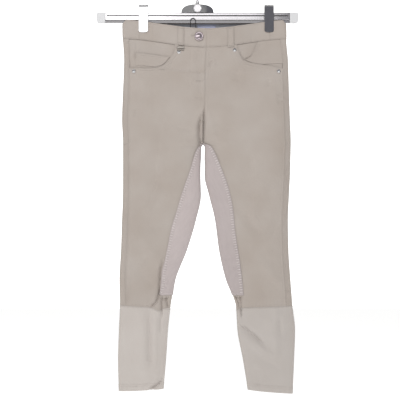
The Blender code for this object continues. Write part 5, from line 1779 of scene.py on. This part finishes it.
# %% Shape the caps
CAP_PROUD, CAP_END_ROUND, CAP_LINE = 0.4, 8.0, 0.35
top, bottom, deep = BODY_TOP + CAP_PROUD, LIP_BOTTOM - CAP_PROUD, BAR_DEPTH + 2.2
for name, side in SIDE.items():
    centre = side * (BAR_LENGTH - CAP_LENGTH) / 2
    bpy.ops.mesh.primitive_cube_add(size=1, location=(centre * MM, 0, (BAR_Z + (top + bottom) / 2) * MM),
                                    scale=(CAP_LENGTH * MM, deep * MM, (top - bottom) * MM))
    cap = start_shape(f"bar_cap_{name}")
    # The outer end is round seen from in front, more so below.
    for z_side, radius in ((1, CAP_END_ROUND * 0.6), (-1, CAP_END_ROUND)):
        pick(cap, "edges", lambda edge: runs_along(edge, Y) and (middle(edge).x - centre) * side > 0
             and (middle(edge).z - BAR_Z) * z_side > 0)
        bpy.ops.mesh.bevel(offset=radius * MM, segments=6, affect="EDGES")
    # A raised collar grips the bar.
    pick(cap, "faces", lambda face: face.normal.x * side < -0.9)
    bpy.ops.mesh.inset(thickness=1.1 * MM)
    pull(side * 1.2, 0, 0)
    cut_across(Y, -CAP_LINE)
    cut_across(Y, CAP_LINE)
    pick(cap, "faces", lambda face: abs(middle(face).y) < CAP_LINE * 0.9 and abs(face.normal.y) < 0.5
         and abs(middle(face).x - centre) < CAP_LENGTH / 2 + 0.1 and face.normal.x * side > -0.5)
    bpy.ops.mesh.extrude_region_shrink_fatten(TRANSFORM_OT_shrink_fatten={"value": -CAP_LINE * MM})
    end_shape(cap, f"bar_cap_{name}", PLASTIC, f"hanger_cap_{name}", soft=0.5)
    beside_solid(cap, f"hanger_cap_{name}")

# %% [markdown]
# ## Clips
#
# A clip is one strip of spring steel. It arches over the bar and comes down on both sides, closing on the
# waistband with two jaws whose ends are rounded. It is a plane, pulled along its path step by step,
# then cut across its width so that its face can bulge a little, which bends the reflections in it. Each clip
# sits a little askew on the bar, turned outwards, so the two mirror different sides of the studio.

# %% Shape the clips
CLIP_WIDTH, CLIP_METAL, CLIP_TOP, CLIP_BOTTOM = 21.0, 1.0, 30.4, 33.0
CLIP_BULGE, CLIP_END_ROUND, CLIP_DIP, CLIP_CUTS = 0.15, 3.4, 2.4, 11
CLIP_TWIST = 0.07        # how far a clip sits askew on the bar, as a slope

inside = BAR_DEPTH / 2 + 0.75
arch = [(inside * math.sin(a), CLIP_TOP - CLIP_METAL - inside + inside * math.cos(a))
        for a in np.linspace(0, math.pi / 2, 9)]
down = arch + [(inside, 12.0), (inside, 0.0), (inside, -12.0), (inside, -20.0), (inside, 5.0 - CLIP_BOTTOM),
               (inside + 0.2, -CLIP_BOTTOM)]
path = [(-y, z) for y, z in reversed(down[1:])] + down


def clip(leg):
    x_middle = CLIP_X[leg]
    bpy.ops.object.select_all(action="DESELECT")
    (y1, z1), (y2, z2) = path[0], path[1]
    bpy.ops.mesh.primitive_plane_add(size=1, location=(x_middle * MM, 0, 0))
    made = start_shape(f"clip_{leg}")
    shape = bmesh.from_edit_mesh(made.data)
    for vert in shape.verts:
        y, z = (y1, z1) if vert.co.y < 0 else (y2, z2)
        x = x_middle + math.copysign(CLIP_WIDTH / 2, vert.co.x / MM - x_middle)
        vert.co = Vector((x, y, BAR_Z + z)) * MM
    bmesh.update_edit_mesh(made.data)
    pick(made, "edges", lambda edge: (middle(edge) - Vector((x_middle, y2, BAR_Z + z2))).length < 0.01)
    for (y, z), (y_next, z_next) in zip(path[1:-1], path[2:]):
        pull(0, y_next - y, z_next - z)
    pick(made, "edges", lambda edge: runs_along(edge, X))
    bpy.ops.mesh.subdivide(number_cuts=CLIP_CUTS)
    shape = bmesh.from_edit_mesh(made.data)
    for vert in shape.verts:
        across = (vert.co.x / MM - x_middle) / (CLIP_WIDTH / 2)
        y, z = vert.co.y / MM, vert.co.z / MM - BAR_Z
        vert.co.y += math.copysign(CLIP_BULGE, y) * (1 - across**2) * MM * min(1, abs(y) / 3)
        vert.co.y += SIDE[leg] * CLIP_TWIST * (vert.co.x - x_middle * MM)
        if z < 1.5 - CLIP_BOTTOM:
            vert.co.z += CLIP_END_ROUND * (1 - math.sqrt(max(0, 1 - abs(across) ** 2.6))) * MM
        if z > CLIP_TOP - CLIP_METAL - 1:
            vert.co.z -= CLIP_DIP * max(0, 1 - abs(across) / 0.45) * MM
    bpy.ops.mesh.select_all(action="SELECT")
    bpy.ops.mesh.normals_make_consistent(inside=False)
    top = max(bmesh.from_edit_mesh(made.data).faces, key=lambda face: middle(face).z)
    if top.normal.z < 0:
        bpy.ops.mesh.flip_normals()
    bpy.ops.object.mode_set(mode="OBJECT")
    modify(made, "SOLIDIFY", thickness=CLIP_METAL * MM, offset=1, use_even_offset=True)
    bpy.ops.object.mode_set(mode="EDIT")
    return end_shape(made, f"clip_{leg}", STEEL, f"hanger_clip_{leg}", soft=0.22, sharp=math.radians(40))


for leg in LEGS:
    beside_solid(clip(leg), f"hanger_clip_{leg}")

# %% [markdown]
# ## Bracket, collar and hook
#
# A half-round bracket of chromed steel sits on the middle of the bar. Its faces bulge like a lens and lean
# back towards the top, and a pale round plug covers the rivet in its middle. Above it a collar holds the foot
# of the hook. The hook is one disc of wire: it is pulled up, spun to the right round one centre and then spun
# back round the hook's own centre.

# %% Shape the bracket and its plug
BRACKET_WIDTH, BRACKET_HEIGHT, BRACKET_DEPTH = 74.0, 20.8, 10.0
BRACKET_LEAN, BRACKET_CROWN, BRACKET_SQUARE, BRACKET_FLAT = 0.1, 3.6, 2.6, 0.93
PLUG_RADIUS, PLUG_PROUD, PLUG_UP = 9.2, 1.2, 9.4
seat = BAR_Z + BODY_TOP + GAP

bpy.ops.mesh.primitive_cylinder_add(vertices=96, radius=1, depth=1, location=(0, 0, seat * MM),
                                    rotation=(math.pi / 2, 0, 0),
                                    scale=(BRACKET_WIDTH / 2 * MM, BRACKET_HEIGHT * MM, BRACKET_DEPTH * MM))
bracket = start_shape("bracket")
bpy.ops.mesh.select_all(action="SELECT")
bpy.ops.mesh.bisect(plane_co=(0, 0, seat * MM), plane_no=(0, 0, -1), clear_outer=True, use_fill=True)
for x in np.linspace(-0.9, 0.9, 19) * BRACKET_WIDTH / 2:
    cut_across(X, x)
shape = bmesh.from_edit_mesh(bracket.data)
for vert in shape.verts:
    # The half ellipse gets a flatter top and fuller shoulders.
    up, across = vert.co.z / MM - seat, vert.co.x / MM / (BRACKET_WIDTH / 2)
    angle = math.atan2(up / BRACKET_HEIGHT, across)
    powers = [abs(part) ** BRACKET_SQUARE for part in (math.cos(angle), math.sin(angle))]
    fuller = sum(powers) ** (-1 / BRACKET_SQUARE)
    across, up = across * fuller, up * fuller * BRACKET_FLAT
    vert.co.x, vert.co.z = across * BRACKET_WIDTH / 2 * MM, (seat + up) * MM
    vert.co.y *= 1 - (BRACKET_LEAN * up + BRACKET_CROWN * across**2) / (BRACKET_DEPTH / 2)
bmesh.update_edit_mesh(bracket.data)
end_shape(bracket, "bracket", STEEL, "hook_bracket", soft=0.35, sharp=math.radians(30))

plug_at = Vector((0, -(BRACKET_DEPTH + PLUG_PROUD) / 2, seat + PLUG_UP)) * MM
bpy.ops.mesh.primitive_cylinder_add(vertices=48, radius=PLUG_RADIUS * MM, depth=PLUG_PROUD * MM,
                                    location=plug_at, rotation=(math.pi / 2, 0, 0))
plug = start_shape("bracket_plug")
pick(plug, "faces", lambda face: face.normal.y < -0.9)
for inset, out in ((0.9, 0.0), (0.4, 0.25)):
    bpy.ops.mesh.inset(thickness=inset * MM)
    bpy.ops.transform.translate(value=(0, out * MM, 0))
end_shape(plug, "bracket_plug", ALLOY, soft=0.4)
beside_solid(bracket, "hook_bracket")
print("plug:", len(plug.data.polygons), "faces")

# %% Shape the collar and spin the hook
COLLAR_RADIUS, COLLAR_HEIGHT = 5.0, 7.0
HOOK_WIRE, HOOK_RADIUS, HOOK_FROM, HOOK_TO = 4.0, 22.0, -62.0, 205.0
collar_foot = seat + BRACKET_HEIGHT + GAP

bpy.ops.mesh.primitive_cylinder_add(vertices=40, radius=COLLAR_RADIUS * MM, depth=COLLAR_HEIGHT * MM,
                                    location=(0, 0, (collar_foot + COLLAR_HEIGHT / 2) * MM))
collar = start_shape("collar")
pick(collar, "faces", lambda face: face.normal.z > 0.9)
bpy.ops.mesh.bevel(offset=1.2 * MM, segments=3, affect="EDGES")
for z, narrow in ((2.2, 1.0), (2.6, 0.88), (3.4, 0.88), (3.8, 1.0)):
    cut_across(Z, collar_foot + z)
    pick(collar, "verts", lambda vert: abs(vert.co.z / MM - collar_foot - z) < 0.01)
    scaled(narrow, narrow, 1)
end_shape(collar, "collar", STEEL, "hook_collar", soft=0.2)

# The first bend turns the wire from upright to the hook's own direction, so its radius follows from that.
foot = collar_foot + COLLAR_HEIGHT + GAP
lean = math.radians(90 + HOOK_FROM)
centre_z = HOOK_WIRE / 2 - HOOK_RADIUS
start = math.radians(HOOK_FROM)
bend_radius = HOOK_RADIUS * math.cos(start) / (1 - math.sin(lean))
bend_z = centre_z + HOOK_RADIUS * math.sin(start) - bend_radius * math.cos(lean)

bpy.ops.mesh.primitive_circle_add(vertices=20, radius=HOOK_WIRE / 2 * MM, fill_type="NGON",
                                  location=(0, 0, foot * MM))
hook = start_shape("hook_wire")
bpy.ops.mesh.select_all(action="SELECT")
pull(0, 0, bend_z - foot)
bpy.ops.mesh.spin(steps=12, angle=math.pi / 2 - lean, axis=(0, -1, 0),
                  center=(bend_radius * MM, 0, bend_z * MM))
bpy.ops.mesh.spin(steps=64, angle=math.radians(HOOK_TO - HOOK_FROM), axis=(0, 1, 0),
                  center=(0, 0, centre_z * MM))
bpy.ops.mesh.inset(thickness=0.01 * MM)
tail = math.radians(HOOK_TO)
for inset, out in ((0.5, 0.45), (0.6, 0.35), (0.5, 0.15)):
    pull(-math.sin(tail) * out, 0, math.cos(tail) * out)
    bpy.ops.mesh.inset(thickness=inset * MM)
end_shape(hook, "hook_wire", STEEL, "hook", soft=0)
beside_solid(hook, "hook")

# %% [markdown]
# ## Button and rivets
#
# A jeans button is a thin cap pressed over a stem: a raised rim, a groove and a low dome. It is a disc,
# pulled up and scaled ring by ring. A rivet is the same idea, smaller. One rivet is modelled lying flat, and
# the four on the garment are copies, each with its own mesh, turned to face out of the cloth where they sit.

# %% Shape the button and the rivets
BUTTON_RINGS = [(4.0, 0.7), (9.4, 1.2), (10.0, 1.7), (10.2, 2.5), (9.9, 3.3), (9.2, 3.8), (8.4, 3.8),
                (7.8, 3.3), (7.2, 2.9), (6.2, 3.3), (4.8, 3.8), (3.2, 4.1), (1.6, 4.25), (0.5, 4.3)]
RIVET_RINGS = [(4.2, 0.35), (4.0, 0.7), (3.5, 1.0), (3.1, 1.0), (2.8, 0.85), (2.5, 1.1), (2.0, 1.7),
               (1.2, 2.1), (0.4, 2.3)]


def turned_up(name, foot_radius, rings, vertices):
    """A turned piece lying flat: a disc, pulled up ring by ring to each (radius, height)."""
    bpy.ops.mesh.primitive_circle_add(vertices=vertices, radius=foot_radius * MM, fill_type="NGON")
    made = start_shape(name)
    bpy.ops.mesh.select_all(action="SELECT")
    for (radius, height), (next_radius, next_height) in zip([(foot_radius, 0.0), *rings], rings):
        pull(0, 0, next_height - height)
        scaled(next_radius / radius, next_radius / radius, 1)
    bpy.ops.mesh.select_all(action="SELECT")
    bpy.ops.mesh.normals_make_consistent(inside=False)
    bpy.ops.object.mode_set(mode="OBJECT")
    bpy.ops.object.shade_smooth_by_angle(angle=math.radians(60))
    return made


def seat_on_cloth(made, piece, leg, out, drop):
    """Turns a piece that lies flat to face out of the cloth, and sets it on a finished piece."""
    turn = turn_out(leg, out, drop)
    point, way = surface(leg, turn, drop), outward(leg, turn, drop, creased=False)
    place = landed(piece, point[None], way[None])[0] + way * 0.1
    made.matrix_world = Vector(way).to_track_quat("Z", "Y").to_matrix().to_4x4()
    made.location = Vector(place) * MM
    only(made)
    bpy.ops.object.transform_apply(location=True, rotation=True, scale=True)


button = turned_up("button", 3.4, BUTTON_RINGS, 64)
seat_on_cloth(button, pieces["band_front_left"], "left", BUTTON_OUT, BUTTON_DROP)
settle(button, "button", ROSE_STEEL, "waist_button", slot="polished_steel")

model = turned_up("rivet_model", 4.2, RIVET_RINGS, 32)
for rivet, place in zip(RIVETS, ("left_inner", "left_outer", "right_inner", "right_outer")):
    stud = link(f"stud_{place}", model.data.copy())
    seat_on_cloth(stud, pieces[f"front_{rivet.leg}"], rivet.leg, rivet.out, rivet.drop)
    settle(stud, f"stud_{place}", STEEL, f"rivet_{place}")
bpy.data.objects.remove(model)
beside_solid(button, "waist_button")

# %% [markdown]
# ## Slide and hanging loop
#
# Under the left belt loop a small metal slide is fixed to the panel: a bright bar above an open frame. And a
# thin black cord is sewn into the back of the waist, comes forward under the bar and stands up in front of
# it.

# %% Shape the slide
SLIDE_X, SLIDE_DROP, SLIDE_WIDE, SLIDE_HIGH, SLIDE_DEEP = -38.0, 50.5, 16.0, 9.0, 2.4
bpy.ops.mesh.primitive_cube_add(size=1, scale=Vector((SLIDE_WIDE, SLIDE_HIGH, SLIDE_DEEP)) * MM,
                                location=(0, 0, SLIDE_DEEP / 2 * MM))
slide = start_shape("slide_frame")
cut_across(Y, 0.8)
pick(slide, "faces", lambda face: abs(face.normal.z) > 0.9 and middle(face).y < 0.8)
bpy.ops.mesh.inset(thickness=1.0 * MM)
bpy.ops.mesh.bridge_edge_loops()
pick(slide, "faces", lambda face: face.normal.z > 0.9 and middle(face).y > 0.8)
bpy.ops.mesh.inset(thickness=0.5 * MM)
bpy.ops.transform.translate(value=(0, 0, 0.5 * MM))
pick(slide, "edges", lambda edge: runs_along(edge, Z) and abs(middle(edge).x) > SLIDE_WIDE / 2 - 0.1)
bpy.ops.mesh.bevel(offset=1.6 * MM, segments=4, affect="EDGES")
end_shape(slide, "slide_frame", OLD_STEEL, soft=0.25, slot="polished_steel")
bpy.context.view_layer.update()
seat_on_cloth(slide, pieces["front_left"], "left", CENTRE_X - SLIDE_X, SLIDE_DROP)
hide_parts("loop_slide")
beside_solid(slide, "loop_slide")

# %% Lay the hanging loop
CORD_RADIUS, CORD_X, CORD_DROP, CORD_FRONT = 0.7, (-16.2, -4.5), 22.0, -5.7


def cord_side(x, lean):
    """One side of the loop. lean is how far its top has moved towards the middle of the loop."""
    at, out = by_x("left", x, CORD_DROP, "back")
    sewn_at = at + out * (LINING_FACE - LAYER - CORD_RADIUS)
    under = BAR_Z + LIP_BOTTOM - 2.5
    return [sewn_at, sewn_at + (0, -0.6, 4), (x, 7.5, under - 1), (x, 0, under),
            (x, CORD_FRONT + 1.3, under + 3), (x, CORD_FRONT, under + 7),
            (x + lean * 0.25, CORD_FRONT, BAR_Z - 3.6), (x + lean * 0.6, CORD_FRONT, BAR_Z - 1.8)]


reach = CORD_X[1] - CORD_X[0]
route = cord_side(CORD_X[0], reach / 2) + cord_side(CORD_X[1], -reach / 2)[::-1]
curve = bpy.data.curves.new("loop_of_cord", "CURVE")
curve.dimensions, curve.bevel_depth, curve.bevel_resolution = "3D", CORD_RADIUS * MM, 4
curve.use_fill_caps, curve.resolution_u = True, 8
spline = curve.splines.new("BEZIER")
spline.bezier_points.add(len(route) - 1)
for knot, place in zip(spline.bezier_points, route):
    knot.co = Vector(place) * MM
    knot.handle_left_type = knot.handle_right_type = "AUTO"
only(link("loop_of_cord", curve))
bpy.ops.object.convert(target="MESH")
cord = bpy.context.object
bpy.ops.object.mode_set(mode="EDIT")
bpy.ops.mesh.select_all(action="SELECT")
bpy.ops.mesh.remove_doubles(threshold=0.005 * MM)
bpy.ops.object.mode_set(mode="OBJECT")
bpy.ops.object.shade_smooth()
settle(cord, "loop_of_cord", CORD, "hanging_loop")
print("loop of cord:", len(cord.data.polygons), "faces")
